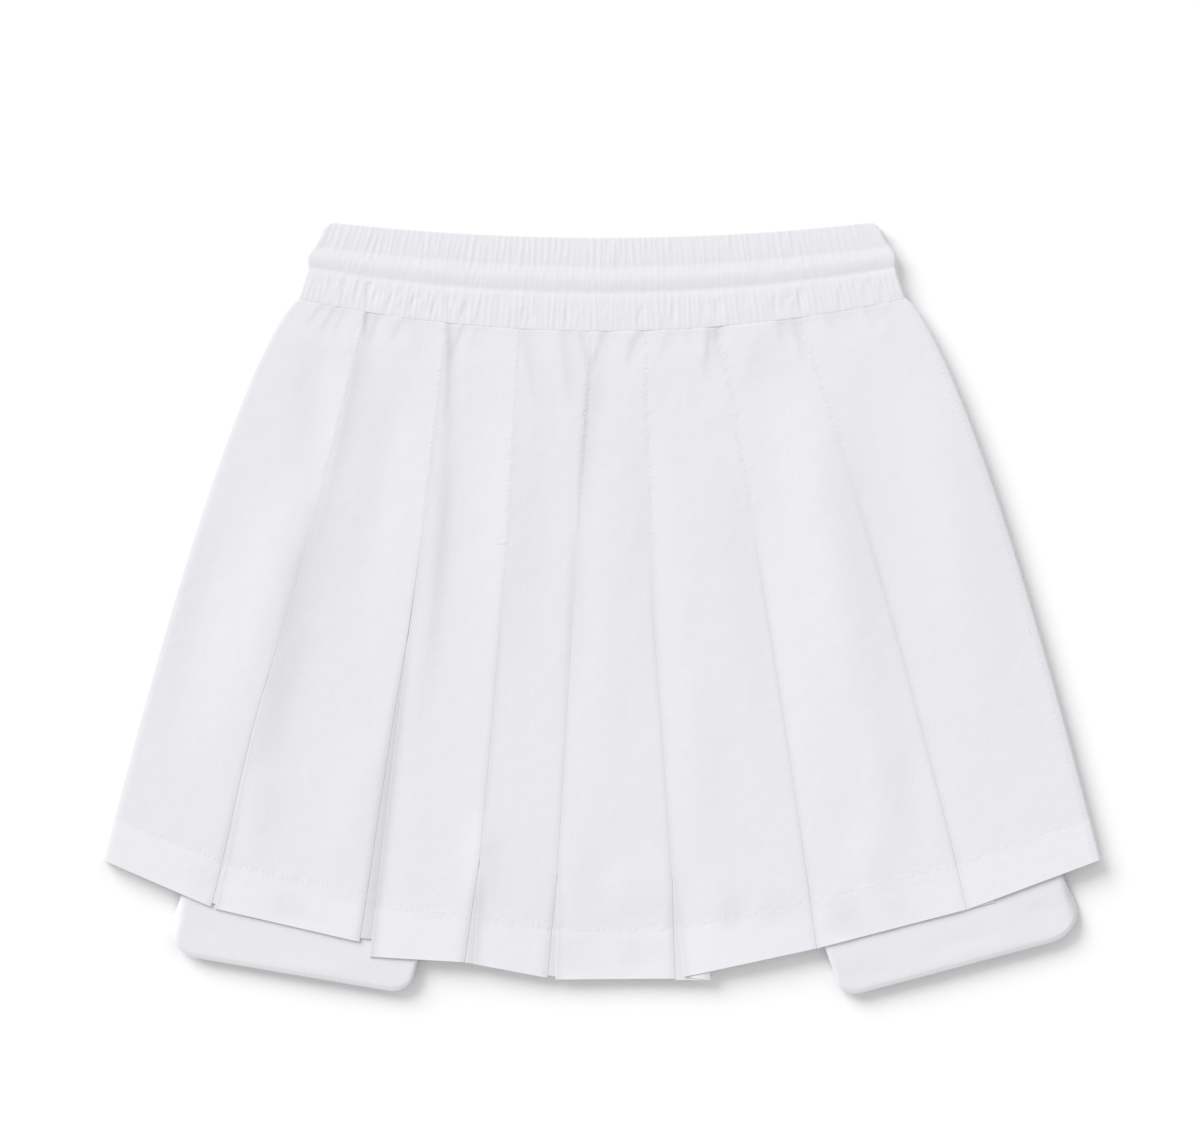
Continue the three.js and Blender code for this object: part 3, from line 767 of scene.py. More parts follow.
# Under the band it sinks in two steps: how much, and over which length.
BAND_PRESS = 0.08
BAND_PRESS_START = 0.5
BAND_PRESS_LENGTH = 1
BAND_DROP = 0.2
BAND_DROP_LENGTH = 0.4
GIVES_FROM = 0.4                  # layers above that level take part in the relief
GIVES_OVER = 1.2
GATHER_HELD = 0.6                 # share of the gathers' height right at the seam
GATHER_FREE = 4                   # they have all of it that far below
DOUBLED_HALF = 0.6                # the turned-up hem looks whiter from its stitching on, within that
# Between the legs the hem sinks towards the back: how much, and where.
HEM_SINK = 2
SINK_X = 10
SINK_HALF = 85
SINK_Y = -100
SINK_LENGTH = 100

FRONT_STOPS = [TOP_ROW, 0.13, 0.36, 0.9, 0.95, LAST_ROW]
front_rows = np.concatenate([[0, EDGE_ROW], cloth_rows(FRONT_STOPS, [20, 20, 25, 8, 5])])
front_points = pleated_width(FRONT_PLEATS, front_rows, SIDE_ROLL, FRONT_SIDE_DROP, PANEL_SAG)
front_share = front_rows[:, None]
front_points[:, :, 2] += HEM_RAISED * smooth((front_share - HEM_SHARE) / HEM_RAISED_OVER)
front_points[:, :, 2] -= HEM_GROOVE * bell(front_share - HEM_SHARE, GROOVE_SHARE)

skirt_front = woven_grid("skirt_front_cloth", front_points)
corners = front_points[::-1]
face_width = np.linalg.norm(corners[:-1, 1:] - corners[:-1, :-1], axis=2)
gathered = (corners[:-1, :-1, 1] > GATHERED_Y) & (face_width > FINER_WIDTH)
gathered &= corners[:-1, :-1, 2] > PANEL_LEVEL - FINER_DEPTH
face_middle = (corners[:-1, :-1] + corners[1:, 1:]) / 2
gathered &= painted_groove_shades(face_middle[:, :, 0], face_middle[:, :, 1], FRONT_CREASES) > FINER_SHADE
make_finer(skirt_front, gathered.ravel(), 2)

places = vertex_places(skirt_front)
x, y, level = places.T
below_seam = waist_seam_y(x) - SEAM_GAP - y
relief = crease_heights(x, y, FRONT_CREASES) * lerp(GATHER_HELD, 1, smooth(below_seam / GATHER_FREE))
relief += crest_heights(x, y, FRONT_PLEATS)
relief -= SEAM_LEVEL * bell(np.maximum(0, below_seam), SEAM_REACH)
pressed = BAND_PRESS * smooth((BAND_PRESS_START - below_seam) / BAND_PRESS_LENGTH)
relief -= pressed + BAND_DROP * smooth(-below_seam / BAND_DROP_LENGTH)
hem_middle = np.cos(np.pi / 2 * np.minimum(1, np.abs(x - SINK_X) / SINK_HALF)) ** 2
sink = HEM_SINK * hem_middle * smooth((SINK_Y - y) / SINK_LENGTH)
# layers under a panel give way with it, so that they never come through
places[:, 2] = FRONT_STACK_Z + level + relief * smooth((level - GIVES_FROM) / GIVES_OVER) - sink
skirt_front.data.vertices.foreach_set("co", (places * MM).ravel())
hem_line_y = lerp(waist_seam_y(x), hem_arc_y(x), HEM_SHARE)
mark(skirt_front, "doubled", smooth((hem_line_y + DOUBLED_HALF - y) / (2 * DOUBLED_HALF)))
# painted shade in the gaps of the folds and in the pressed grooves
grooves = painted_groove_shades(x, y, FRONT_CREASES)
mark(skirt_front, "painted_shade", np.maximum(painted_fold_shades(x, y, FRONT_PLEATS), grooves))
front_seams = pleat_seams(FRONT_PLEATS) + hem_seams(FRONT_PLEATS)
mark(skirt_front, "puckered", puckering(x, y, front_seams))

hem_rows = int((front_rows > HEM_SHARE).sum())
give_wall(skirt_front, HEM_WALL, hem_rows * front_points.shape[1])
poplin = cotton("white_poplin", POPLIN_WHITE, POPLIN_THREAD, POPLIN_CRUMPLE)
skirt_front.data.materials.append(poplin)
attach(skirt_front, "root")
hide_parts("skirt_front")

# ---- Skirt back ----------------------------------------------------------------------------------
# The back is cut like the front, with three inverted pleats on each side of its centre. It lies
# with its outer face on the table, so its panels are pressed flat and its folds stand inwards.

BACK_PLEATS = pleat_table(
    waist_x=(20, 62, 106),
    release_x=(25, 76, 131),
    release_y=(34, 44, 64),
    hem_x=(38, 114, 192),
    hem_y=(-196, -180, -159),
    sway=(0, 0, 0),
    opening=(1.5, 2, 1.5),
    opens=(0.3, 0.3, 0.3),
    gape=(0.1, 0.1, 0.1),
    step=(0, 0, 0),
    depth=(13, 14, 14),
    left_y=(-196, -183, -163),
    right_y=(-193, -176, -155),
    crest=(-0.1, -0.1, -0.1),
    drop=(0.2, 0.2, 0.2),
    curl=(0.1, 0.1, 0.1),
    sewn=(1, 1, 1),
)
# Hollows of the back, pressed between the folds: heights are measured into the garment.
BACK_CREASES = crease_rows([
    # puckers that come out of the waist seam
    ((-148, 163), (-152, 152), (-158, 140), 1.8, -0.5),
    ((-128, 160), (-131, 148), (-137, 132), 2, -0.6),
    ((-96, 155), (-98, 140), (-102, 122), 2.2, -0.5),
    ((-84, 154), (-85, 142), (-88, 128), 1.8, -0.4),
    ((-50, 151), (-50, 136), (-53, 116), 2.2, -0.6),
    ((-34, 150), (-36, 139), (-37, 124), 1.8, -0.45),
    ((-8, 149), (-9, 135), (-8, 115), 2.2, -0.55),
    ((6, 149), (7, 138), (9, 122), 1.8, -0.5),
    ((33, 150), (35, 138), (38, 120), 2, -0.55),
    ((49, 151), (51, 140), (52, 126), 1.7, -0.4),
    ((80, 153), (84, 140), (88, 118), 2.4, -0.6),
    ((95, 155), (98, 146), (102, 134), 1.8, -0.4),
    ((125, 159), (129, 147), (135, 130), 2.2, -0.55),
    ((146, 162), (151, 150), (158, 136), 2, -0.5),
], 1) + crease_rows([
    # hollows of the panels
    ((-172, 60), (-190, -20), (-214, -110), 12, -0.7),
    ((-100, 90), (-112, 0), (-140, -110), 12, -0.6),
    ((-48, 90), (-56, 0), (-74, -120), 11, -0.7),
    ((-4, 100), (2, 10), (-3, -130), 11, -0.6),
    ((50, 80), (58, -10), (72, -100), 12, -0.7),
    ((102, 100), (116, 10), (146, -120), 12, -0.6),
    ((165, 90), (184, 0), (212, -90), 13, -0.7),
])
BACK_FACE = 0.32                  # middle of the cloth that lies on the table
BACK_SIDE_ROLL = 3
BACK_SIDE_DROP = 0.95             # the back turns up at its sides to meet the front
BACK_SEAM_LEVEL = 0.5
BACK_HEM_GROOVE = 0.15
BACK_WALL = 0.5

mirrored = []
for pleat in reversed(BACK_PLEATS):
    opposite = dict(pleat)
    for key in ("waist_x", "release_x", "hem_x"):
        opposite[key] = -pleat[key]
    opposite["left_y"], opposite["right_y"] = pleat["right_y"], pleat["left_y"]
    opposite["sewn"] = -pleat["sewn"]
    mirrored.append(opposite)

BACK_STOPS = [TOP_ROW, 0.13, 0.9, 0.95, LAST_ROW]
back_rows = np.concatenate([[0, EDGE_ROW], cloth_rows(BACK_STOPS, [22, 34, 8, 6])])
back_points = pleated_width(mirrored + BACK_PLEATS, back_rows, BACK_SIDE_ROLL, BACK_SIDE_DROP, 0)
back_share = back_rows[:, None]
x, y, level = back_points[:, :, 0], back_points[:, :, 1], back_points[:, :, 2]
relief = crease_heights(x, y, BACK_CREASES) + crest_heights(x, y, mirrored + BACK_PLEATS)
relief -= BACK_HEM_GROOVE * bell(back_share - HEM_SHARE, GROOVE_SHARE)
relief -= BACK_SEAM_LEVEL * bell(back_share, TOP_ROW)
relief *= np.clip(level / PANEL_LEVEL, 0, 1)
back_points[:, :, 2] = np.maximum(BACK_FACE, BACK_FACE + PANEL_LEVEL - level - relief)
# rows run from the hem up, which turns the cloth's face down to the table
skirt_back = woven_grid("skirt_back_cloth", back_points[:, ::-1])
give_wall(skirt_back, BACK_WALL)
skirt_back.data.materials.append(poplin)
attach(skirt_back, "root")
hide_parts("skirt_back")

# ---- Inner shorts --------------------------------------------------------------------------------
# Four pieces of smooth white cotton under the skirt, two for each leg, sewn into the waist seam.
# Their legs lie splayed, with rounded, narrowly hemmed openings that show below the skirt.

LEGS = {
    "left": dict(side=-1, outer_x=-233, outer_y=-187.5, inner_x=-101, inner_y=-210, fork_x=-80),
    "right": dict(side=1, outer_x=258, outer_y=-177.5, inner_x=126.5, inner_y=-212.5, fork_x=100),
}
FORK_Y = -105
CROTCH_Y = -72
CROTCH_SHARE = 0.635
SHORTS_TOP_HALF = 149
SIDE_BOW = 5                      # how far the side seam bows outwards
CORNER_RADIUS = 14                # of the rounded ends of a leg opening
LEG_ROLL = 3.5                    # width over which a leg's edge turns over
LEG_LENGTH = 14                   # past the skirt's hem the leg settles on the table over this length
LEG_RISE = 2.2                    # its front lies close under the skirt's hem
RISE_START = 70                   # from there down, over the next measure
RISE_LENGTH = 60
LEG_SAG = 0.4                     # across its width, past the hem
OPENING_FROM = 0.86               # shares of the length: the rounded corners of the opening
RIM_FROM = 0.9                    # and the stretch of its stitching that runs up the sides
RIM_TO = 0.97
RIM_DROP = 0.9                    # the opening's edge bends down to the back's
RIM_WIDTH = 1.2
BACK_LEG_Z = 0.3
SHORTS_TOP_BELOW = 0.5            # middle of the cloth below its solid's top
SHORTS_WALL = 0.5
LINING_WHITE = (0.782, 0.779, 0.808)
LINING_THREAD = 0.26
LINING_CRUMPLE = 0.25
# How far the leg's edges turn down at its sides, under the skirt and past its hem.
FRONT_FALL = (0.3, 3.3)
BACK_FALL = (0.2, 1.2)
# Soft folds of the legs where they show.
LEG_CREASES = crease_rows([
    ((-226, -168), (-200, -183), (-160, -196), 5, -0.25),
    ((-172, -190), (-150, -197), (-122, -202), 5, 0.25),
    ((-151, -180), (-143, -190), (-138, -204), 4, 0.2),
    ((-128, -188), (-122, -196), (-118, -206), 5, -0.3),
    ((135, -190), (150, -199), (175, -197), 5, -0.25),
    ((165, -180), (195, -180), (225, -168), 5, -0.23),
    ((222, -160), (236, -163), (246, -172), 6, -0.25),
    ((180, -190), (205, -184), (235, -176), 3.5, 0.17),
])


def shorts_piece(name, leg, front):
    """One quarter of the shorts, from the waist seam to the leg opening."""
    centre_x = leg["side"] * SEAM_GAP / 2
    top_x = leg["side"] * SHORTS_TOP_HALF
    bend_x = lerp(top_x, leg["outer_x"], 0.5) + leg["side"] * SIDE_BOW
    v = cloth_rows([0, OPENING_FROM, LAST_ROW], [32, 34])[:, None]
    side_x = through_three(top_x, bend_x, leg["outer_x"], 0.5, v)
    side_y = lerp(waist_seam_y(top_x) - SEAM_GAP, leg["outer_y"], v)
    t = np.clip((v - CROTCH_SHARE) / (1 - CROTCH_SHARE), 0, 1)
    inner_x = (1 - t) ** 2 * centre_x + 2 * t * (1 - t) * leg["fork_x"] + t * t * leg["inner_x"]
    inseam_y = (1 - t) ** 2 * CROTCH_Y + 2 * t * (1 - t) * FORK_Y + t * t * leg["inner_y"]
    centre_y = lerp(waist_seam_y(centre_x) - SEAM_GAP, CROTCH_Y, v / CROTCH_SHARE)
    inner_y = np.where(v < CROTCH_SHARE, centre_y, inseam_y)
    width = np.abs(inner_x - side_x)
    edge = CORNER_RADIUS * (1 - np.cos(np.linspace(0, np.pi / 2, 12)))
    middle = np.linspace(0, 1, 26)[1:-1]
    away = [d + 0 * width for d in edge]
    away += [lerp(CORNER_RADIUS, width - CORNER_RADIUS, m) for m in middle]
    away += [width - d for d in edge[::-1]]
    away = np.concatenate(away, axis=1)
    u = away / width
    x = lerp(side_x, inner_x, u)
    # the opening's corners are quarter circles
    near_edge = np.minimum(away, width - away)
    corner = CORNER_RADIUS * (1 - round_edge(near_edge, CORNER_RADIUS))
    length_y = lerp(side_y, inner_y, u)
    y = length_y + corner * smooth((v - OPENING_FROM) / (1 - OPENING_FROM)) ** 2
    y[0] = waist_seam_y(x[0]) - SEAM_GAP
    beyond = smooth((hem_arc_y(x) - 2 - y) / LEG_LENGTH)
    fall = 1 - round_edge(near_edge, LEG_ROLL)
    middle_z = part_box(name)[1].z / MM - SHORTS_TOP_BELOW
    if front:
        raised = LEG_RISE * smooth((hem_arc_y(x) + RISE_START - y) / RISE_LENGTH)
        z = middle_z + raised + beyond * LEG_SAG * (np.sin(np.pi * u) - 1)
        z -= fall * (lerp(*FRONT_FALL, beyond) + raised)
        z += crease_heights(x, y, LEG_CREASES) * beyond
        to_end = np.where(v > OPENING_FROM, y - y[-1:], np.inf)
        z -= RIM_DROP * bell(to_end, RIM_WIDTH) * beyond
    else:
        z = lerp(middle_z, BACK_LEG_Z, beyond) + fall * lerp(*BACK_FALL, beyond)
    points = np.stack([x, y, z], axis=2)
    if (leg["side"] < 0) != front:
        points = points[:, ::-1]
    cloth = woven_grid(name + "_cloth", points)
    give_wall(cloth, SHORTS_WALL)
    cloth.data.materials.append(lining)
    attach(cloth, "root")
    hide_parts(name)
    # the opening's stitching runs round its corners and a little way up both sides
    sides = (v[:, 0] > RIM_FROM) & (v[:, 0] < RIM_TO)
    rim = np.concatenate([
        np.stack([x[sides, 0], y[sides, 0]], axis=1),
        np.stack([x[-1], y[-1]], axis=1),
        np.stack([x[sides, -1], y[sides, -1]], axis=1)[::-1],
    ])
    return cloth, rim


lining = cotton("white_lining", LINING_WHITE, LINING_THREAD, LINING_CRUMPLE)
shorts = {}
for side_name, leg in LEGS.items():
    for layer in ("back", "front"):
        key = f"shorts_{layer}_{side_name}"
        shorts[key] = shorts_piece(key, leg, layer == "front")

# ---- Waistband -----------------------------------------------------------------------------------
# A casing of poplin round a broad elastic, which gathers it. Two rows of stitching part it into
# three channels; the middle one is padded and stands out as a rope. Front and back are alike.

BAND_TOP_HALF = 150
BAND_TOP_Y = 200.5
BAND_TOP_RISE = 8.5
BAND_WALL = 3.2
ROPE_TOP = 0.315                  # the two rows of stitching, as shares of the band's height
ROPE_BOTTOM = 0.598
ROPE_HEIGHT = 0.45
ROPE_BULGE = 3                    # the rope stands out past the band's sides
BULGE_MIDDLE = 0.44               # shares of the band's height
BULGE_HALF = 0.13
BULGE_POWER = 8                   # keeps it to the ends
CHANNEL_HEIGHT = 0.12             # the elastic in the upper and lower channels
BAND_ROLL = 1.5                   # width over which the band turns over at its sides
BAND_END_Z = 3.9                  # where the front ends at the sides, close above the back
BAND_BACK_END_Z = 3.3
EDGE_RADIUS = 0.9
BAND_GROOVES = [(ROPE_TOP, 0.05, 0.02), (ROPE_BOTTOM, 0.2, 0.035)]    # row, depth, half of the width
SEAM_DRAWN = 0.08                 # the waist seam draws the band in
SEAM_SHARE = 0.02
# Ridges of the three channels: pitch, width and height.
UPPER_GATHERS = (3.6, 0.9, 0.17)
ROPE_GATHERS = (2.8, 0.8, 0.08)
LOWER_GATHERS = (3.1, 0.9, 0.15)
GATHERS_PAST = 0.08               # the upper ones run on into the rope
FRONT_SEED = 11
BACK_SEED = 41
TOP_CORNER = 4.5                  # how far the top edge rounds down at the sides
CORNER_SHARE = 0.045              # over that share of the half width
CORNER_DOWN = 0.12                # and of the height
SMOOTH_FROM = 0.94                # share of the half width
SMOOTH_OVER = 0.03
BAND_INSIDE_BELOW = 0.5           # the band's inner face, below the top of the shorts
BACK_BAND_LEVEL = 0.1
BAND_LOWEST = 0.05
BAND_COLUMNS = 540
CLOSING_ROWS = (0.8, 0.45, 0.2, 0.07)

# Folds of the lower channel that run on from the gathers of the skirt.
BAND_CREASES = crease_rows([
    ((-126.2, 174), (-126.8, 168), (-126.8, 159), 1, -0.39),
], 1) + crease_rows([
    ((-137, 180), (-139, 174), (-142, 165), 0.9, -0.16),
    ((-131, 178), (-133, 171), (-136, 163), 0.9, -0.16),
    ((-122.6, 172), (-122.6, 166), (-124, 160), 0.8, -0.2),
    ((-112.4, 170), (-114.6, 165), (-117, 157), 0.9, -0.24),
    ((-100, 170), (-102.6, 164), (-105.6, 156), 0.9, -0.22),
    ((-90.2, 167), (-91, 161), (-92.6, 155), 0.9, -0.2),
    ((-83.2, 169), (-82.4, 162), (-82.4, 152), 0.9, -0.24),
    ((-73, 167), (-74.6, 160), (-77, 153), 1, -0.29),
    ((-42.4, 163), (-42.4, 157), (-42.6, 150), 0.9, -0.2),
    ((-38, 160), (-39.6, 155), (-41, 149), 0.8, -0.16),
    ((-19.6, 163), (-18.6, 156), (-17.8, 149), 0.9, -0.2),
    ((22.4, 164), (20.6, 158), (19.4, 151), 0.9, -0.24),
    ((38.4, 165), (38.6, 158), (37.2, 152), 0.8, -0.18),
    ((54.6, 165), (55.4, 160), (56.2, 153), 0.9, -0.2),
    ((61.6, 167), (61.8, 160), (61.8, 152), 1, -0.33),
    ((91.5, 168), (93, 162), (94.8, 155), 0.9, -0.24),
    ((98.6, 169), (98.6, 163), (99, 156), 0.9, -0.2),
    ((106, 173), (107, 165), (107.9, 156), 1, -0.37),
    ((129.2, 177), (129, 167), (128.6, 158), 0.9, -0.18),
    ((136.2, 179), (136.9, 174), (137.8, 168), 0.9, -0.2),
    ((141, 177), (143, 170), (145, 162), 0.9, -0.22),
    ((144.5, 180), (147, 171), (149.6, 162), 0.9, -0.2),
    ((150.4, 177), (151.4, 168), (152.4, 158), 0.9, -0.2),
])


def waist_top_y(x):
    return BAND_TOP_Y + BAND_TOP_RISE * (x / BAND_TOP_HALF) ** 2


def band_place(u, s):
    """x and y of the band at a share u of its half width and a share s of its height."""
    x = u * lerp(BAND_TOP_HALF, WAIST_SEAM_HALF, s)
    return x, lerp(waist_top_y(u * BAND_TOP_HALF), waist_seam_y(u * WAIST_SEAM_HALF), s)


def gathers(across, s, low, high, pitch, width, height, seed):
    """Uneven ridges side by side between two rows of stitching, low and high."""
    draw = np.random.default_rng(seed)
    ridges = np.zeros(across.shape)
    place = across.min() - pitch
    while place < across.max() + pitch:
        place += pitch * draw.uniform(0.7, 1.3)
        lean = draw.uniform(-1.6, 1.6)
        begin = low + (high - low) * draw.choice([0, 0, 0, 0.15, 0.35])
        end = high - (high - low) * draw.choice([0, 0, 0, 0.2, 0.4])
        wide = width * draw.uniform(0.75, 1.3)
        tall = height * draw.uniform(0.45, 1.25)
        near = np.abs(across[0] - place) < 3 * wide + 2
        along = (s[:, near] - begin) / (end - begin)
        centre = place + lean * (along - 0.5)
        shape = bell(across[:, near] - centre, wide)
        ridges[:, near] += tall * shape * np.clip(np.sin(np.pi * np.clip(along, 0, 1)), 0, 1) ** 0.5
    return ridges


def band_face(u, s, seed):
    """Height of the band's outer face: rope, rows of stitching and gathers."""
    across = u * WAIST_SEAM_HALF
    rope = np.clip((s - ROPE_TOP) / (ROPE_BOTTOM - ROPE_TOP), 0, 1)
    face = ROPE_HEIGHT * np.sin(np.pi * rope) ** 2
    face += CHANNEL_HEIGHT * np.sin(np.pi * np.clip(s / ROPE_TOP, 0, 1))
    face += CHANNEL_HEIGHT * np.sin(np.pi * np.clip((s - ROPE_BOTTOM) / (1 - ROPE_BOTTOM), 0, 1))
    for row, depth, half in BAND_GROOVES:
        face -= depth * bell(s - row, half)
    face -= SEAM_DRAWN * smooth((s - (1 - SEAM_SHARE)) / SEAM_SHARE)
    # the last centimetre of the upper channels isn't gathered at one side
    smooth_end = smooth((SMOOTH_FROM - u) / SMOOTH_OVER)
    face += gathers(across, s, -GATHERS_PAST, ROPE_TOP + GATHERS_PAST, *UPPER_GATHERS, seed) * smooth_end
    rope_ends = smooth_end * smooth((SMOOTH_FROM + 0.02 + u) / SMOOTH_OVER)
    face += gathers(across, s, ROPE_TOP, ROPE_BOTTOM, *ROPE_GATHERS, seed + 1) * rope_ends
    face += gathers(across, s, ROPE_BOTTOM, 1.05, *LOWER_GATHERS, seed + 2)
    return face


def band_strip(name, outer, inner):
    """The band as one closed strip: outer face from seam to top, over the edge, down the inside.

    outer(u, s, open) and inner(open) give heights; open falls to 0 where the sides close."""
    fine = 1 - BAND_ROLL * (1 - np.cos(np.linspace(0, np.pi / 2, 7))) / WAIST_SEAM_HALF
    u = np.concatenate([-fine, np.linspace(-1, 1, BAND_COLUMNS)[4:-4], fine[::-1]])[None, :]
    s_face = np.concatenate([[0.9985, 0.995, 0.988], np.linspace(0.975, 0.02, 61)])
    s_inside = np.linspace(0.02, 1, 15)
    ones = np.ones(u.shape)
    away = WAIST_SEAM_HALF * (1 - np.abs(u))
    side_open = round_edge(away, BAND_ROLL)
    side_open[:, [0, -1]] = 0

    def place(s, z, beyond):
        x, y = band_place(u, s)
        x = x + np.sign(u) * ROPE_BULGE * bell(s - BULGE_MIDDLE, BULGE_HALF) * np.abs(u) ** BULGE_POWER
        corner = np.clip((np.abs(u) - (1 - CORNER_SHARE)) / CORNER_SHARE, 0, 1) ** 2
        corner = corner * np.clip(1 - s / CORNER_DOWN, 0, 1)
        y = y + beyond * side_open - TOP_CORNER * corner
        return np.stack([x, y, z * np.ones(x.shape)], axis=2)

    # at the two sides the face's rows run together into the inside's, which closes the band there
    face_s = s_face[:, None] * ones
    nearest = s_inside[np.abs(s_face[:, None] - s_inside).argmin(1)]
    face_s[:, 0] = nearest
    face_s[:, -1] = nearest
    z_face = outer(u * np.ones(face_s.shape), face_s, side_open)
    z_inside = inner(side_open) * np.ones((len(s_inside), 1))
    rows = [place(face_s, z_face, 0)]
    for angle in np.linspace(0, np.pi, 7)[1:-1]:
        top_z = lerp(z_face[-1:], z_inside[:1], (1 - np.cos(angle)) / 2)
        rows.append(place(s_inside[0] * ones, top_z, EDGE_RADIUS * np.sin(angle)))
    rows.append(place(s_inside[:, None] * ones, z_inside, 0))
    inwards = np.sign(z_inside[:1] - z_face[:1])
    for below in CLOSING_ROWS:
        rows.append(place(ones, z_face[:1] + inwards * below * side_open, 0))
    rows.append(rows[0][:1])
    strip = woven_grid(name, np.concatenate(rows)[:, ::-1])
    bpy.ops.object.mode_set(mode="EDIT")
    bpy.ops.mesh.select_all(action="SELECT")
    bpy.ops.mesh.remove_doubles(threshold=0.001 * MM)
    bpy.ops.mesh.select_all(action="SELECT")
    bpy.ops.mesh.normals_make_consistent(inside=False)
    bpy.ops.object.mode_set(mode="OBJECT")
    bpy.ops.object.shade_smooth()
    strip.data.materials.append(poplin)
    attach(strip, "root")
    return strip


BAND_FRONT_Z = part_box("shorts_front_left")[1].z / MM - BAND_INSIDE_BELOW


def front_outer(u, s, side_open):
    x, y = band_place(u, s)
    face = BAND_FRONT_Z + BAND_WALL + band_face(u, s, FRONT_SEED) + crease_heights(x, y, BAND_CREASES)
    return lerp(BAND_END_Z, face, side_open)


def front_inner(side_open):
    return lerp(BAND_END_Z, BAND_FRONT_Z, side_open)


waistband_front = band_strip("waistband_front_cloth", front_outer, front_inner)
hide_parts("waistband_front")


def back_outer(u, s, side_open):
    face = ROPE_HEIGHT + BACK_BAND_LEVEL - band_face(u, s, BACK_SEED)
    return lerp(BAND_BACK_END_Z, np.maximum(BAND_LOWEST, face), side_open)


def back_inner(side_open):
    return lerp(BAND_BACK_END_Z, BAND_WALL, side_open)


waistband_back = band_strip("waistband_back_cloth", back_outer, back_inner)
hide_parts("waistband_back")

# ---- Stitching -----------------------------------------------------------------------------------
# Lockstitch in white cotton thread: along the pleats, the hems, the front's right-hand side seam,
# the band's channels and the leg openings, with two bartacks. A row of threads per piece, each
# thread seated on the cloth below it.

STITCH_LENGTH = 2.1
STITCH_PITCH = 2.8
THREAD_WIDTH = 0.42
THREAD_HEIGHT = 0.22
BAND_SUNK = 0.07                  # the elastic draws the band's rows into the cloth
# the thread's painted shade and painted highlight
THREAD_SHADED = (0.74, 0.737, 0.765, 1)
THREAD_LIT = (0.85, 0.847, 0.875, 1)
TWIST_SCALE = 900
THREAD_CLEARANCE = 0.02           # no thread comes closer to the table
CAST_FROM = 0.05                  # metres above or below the table
STEEPEST = 0.35                   # a thread that would run up a step is left out
BARTACK_PITCH = 0.55              # a bartack is a close block of threads side by side
BARTACKS = [                      # x, y, direction, length, width
    (-54, 34.5, 0, 5, 1.8),
    (231, -14, np.pi / 2 + 0.2, 5, 2),
]
SIDE_STITCH = 4.2                 # from the side to its seam
SIDE_FROM = 0.02                  # shares of the length
SIDE_TO = 0.985
BAND_REACH = 0.985                # how far the band's rows run out to its sides
RIM_STITCH = 2.6                  # from the edge of a leg opening

thread_cotton = bpy.data.materials.new("sewing_thread")
thread_cotton.use_nodes = True
twist_place = add_node(thread_cotton, "ShaderNodeTexCoord", {})
inputs = {"Vector": twist_place.outputs["Object"], "Scale": TWIST_SCALE}
twist = add_node(thread_cotton, "ShaderNodeTexNoise", inputs)
# painted highlight and painted shade on the thread's twisted plies, mixed at random
inputs = {"Factor": twist.outputs["Fac"], "A": THREAD_SHADED, "B": THREAD_LIT}
painted_twist_light = add_node(thread_cotton, "ShaderNodeMix", inputs, data_type="RGBA")
inputs = {"Roughness": 0.6, "Sheen Weight": 0.2, "Base Color": painted_twist_light.outputs["Result"]}
set_inputs(thread_cotton, thread_cotton.node_tree.nodes["Principled BSDF"], inputs)


def evenly(path, pitch, length):
    """Both ends of a stitch, every pitch along a path of x and y."""
    reach = np.concatenate([[0], np.cumsum(np.linalg.norm(np.diff(path, axis=0), axis=1))])
    middle = np.arange(pitch / 2, reach[-1] - length / 2, pitch)
    return [
        [(np.interp(at, reach, path[:, 0]), np.interp(at, reach, path[:, 1]))
         for at in (m - length / 2, m + length / 2)]
        for m in middle
    ]


def bartack(x, y, direction, length, width):
    """Stitches side by side over that length, each as long as width."""
    along = np.array([np.cos(direction), np.sin(direction)])
    across = np.array([-along[1], along[0]]) * width / 2
    middles = [np.array([x, y]) + along * p for p in np.arange(-length / 2, length / 2, BARTACK_PITCH)]
    return [[tuple(middle - across), tuple(middle + across)] for middle in middles]


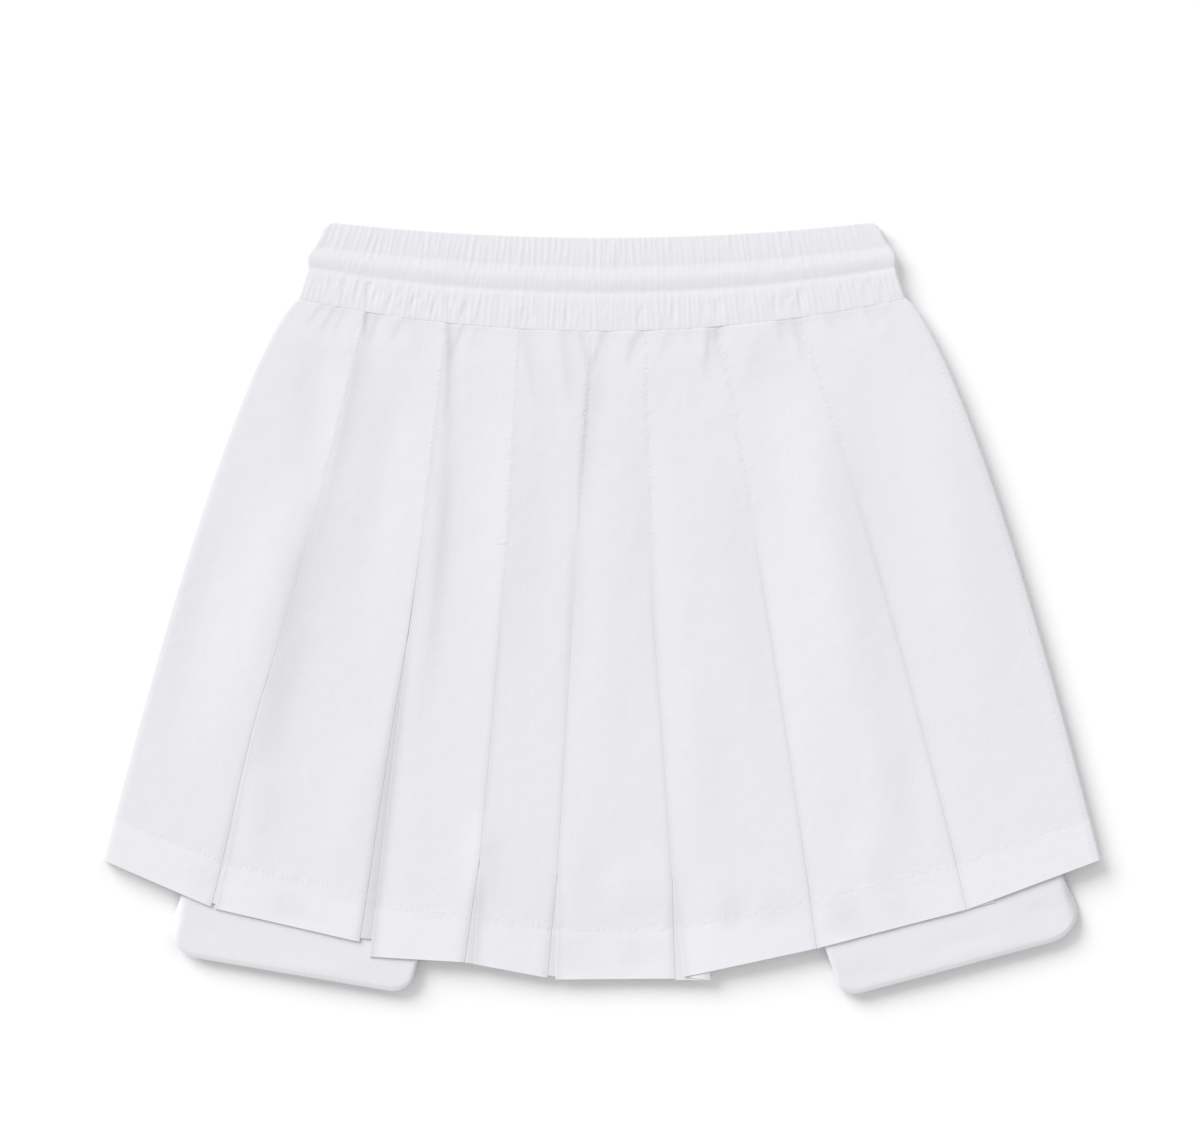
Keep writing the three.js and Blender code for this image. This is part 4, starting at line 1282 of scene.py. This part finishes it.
def sew(name, cloth, stitches, below=False, sunk=0):
    """Threads of the given ends, seated on the cloth from above, or on its underside."""
    from_z = -CAST_FROM if below else CAST_FROM
    down = (0, 0, 1 if below else -1)
    seats = []
    for ends in stitches:
        hits = [cloth.ray_cast((x * MM, y * MM, from_z), down) for x, y in ends]
        if not (hits[0][0] and hits[1][0]):
            continue
        start, end = np.array(hits[0][1]), np.array(hits[1][1])
        if abs(start[2] - end[2]) > STEEPEST * np.linalg.norm(end - start):
            continue
        normal = np.array(hits[0][2]) + np.array(hits[1][2])
        seats.append((start, end, normal / np.linalg.norm(normal)))
    bpy.ops.object.select_all(action="DESELECT")
    bpy.ops.mesh.primitive_uv_sphere_add(segments=6, ring_count=4, radius=0.5)
    threads = bpy.context.object
    threads.name = name
    row = threads.modifiers.new("row", "ARRAY")
    row.count = len(seats)
    bpy.ops.object.modifier_apply(modifier="row")
    bpy.ops.object.shade_smooth()
    corners = np.zeros(len(threads.data.vertices) * 3)
    threads.data.vertices.foreach_get("co", corners)
    one = corners.reshape(len(seats), -1, 3)[0]
    start, end, normal = (np.array([seat[i] for seat in seats])[:, None, :] for i in range(3))
    along = end - start
    across = np.cross(normal, along)
    across /= np.linalg.norm(across, axis=2, keepdims=True)
    middle = (start + end) / 2 - sunk * MM * normal
    if below:
        middle[:, :, 2] = np.maximum(middle[:, :, 2], THREAD_HEIGHT / 2 * MM + THREAD_CLEARANCE * MM)
    placed = middle + one[None, :, 0:1] * along
    placed = placed + one[None, :, 1:2] * THREAD_WIDTH * MM * across
    placed = placed + one[None, :, 2:3] * THREAD_HEIGHT * MM * normal
    placed[:, :, 2] = np.maximum(placed[:, :, 2], THREAD_CLEARANCE * MM)
    threads.data.vertices.foreach_set("co", placed.ravel())
    threads.data.update()
    threads.data.materials.append(thread_cotton)
    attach(threads, "root")


def stitched(lines):
    return [stitch for line in lines for stitch in evenly(line, STITCH_PITCH, STITCH_LENGTH)]


def inset(line, towards, distance):
    """The line moved that far towards a point inside it."""
    run = np.gradient(line, axis=0)
    across = np.stack([-run[:, 1], run[:, 0]], axis=1) / np.linalg.norm(run, axis=1, keepdims=True)
    across *= np.sign(((towards - line) * across).sum(1, keepdims=True))
    return line + distance * across


bpy.context.view_layer.update()
side_x, side_y = side_line(1, np.linspace(SIDE_FROM, SIDE_TO, 60))
front_stitches = stitched(front_seams + [np.stack([side_x - SIDE_STITCH, side_y], axis=1)])
for place in BARTACKS:
    front_stitches += bartack(*place)
sew("skirt_front_stitching", skirt_front, front_stitches)
back_lines = pleat_seams(mirrored + BACK_PLEATS) + hem_seams(mirrored + BACK_PLEATS)
sew("skirt_back_stitching", skirt_back, stitched(back_lines), True)
band_shares = np.linspace(-BAND_REACH, BAND_REACH, 80)
band_rows = [np.stack(band_place(band_shares, s), axis=1) for s in (ROPE_TOP, ROPE_BOTTOM)]
band_stitches = stitched(band_rows)
sew("waistband_front_stitching", waistband_front, band_stitches, False, BAND_SUNK)
sew("waistband_back_stitching", waistband_back, band_stitches, True, BAND_SUNK)

for key, (cloth, rim) in shorts.items():
    above = rim.mean(0) + np.array([0, CORNER_RADIUS])
    stitches = stitched([inset(rim, above, RIM_STITCH)])
    sew(key + "_stitching", cloth, stitches, "back" in key)
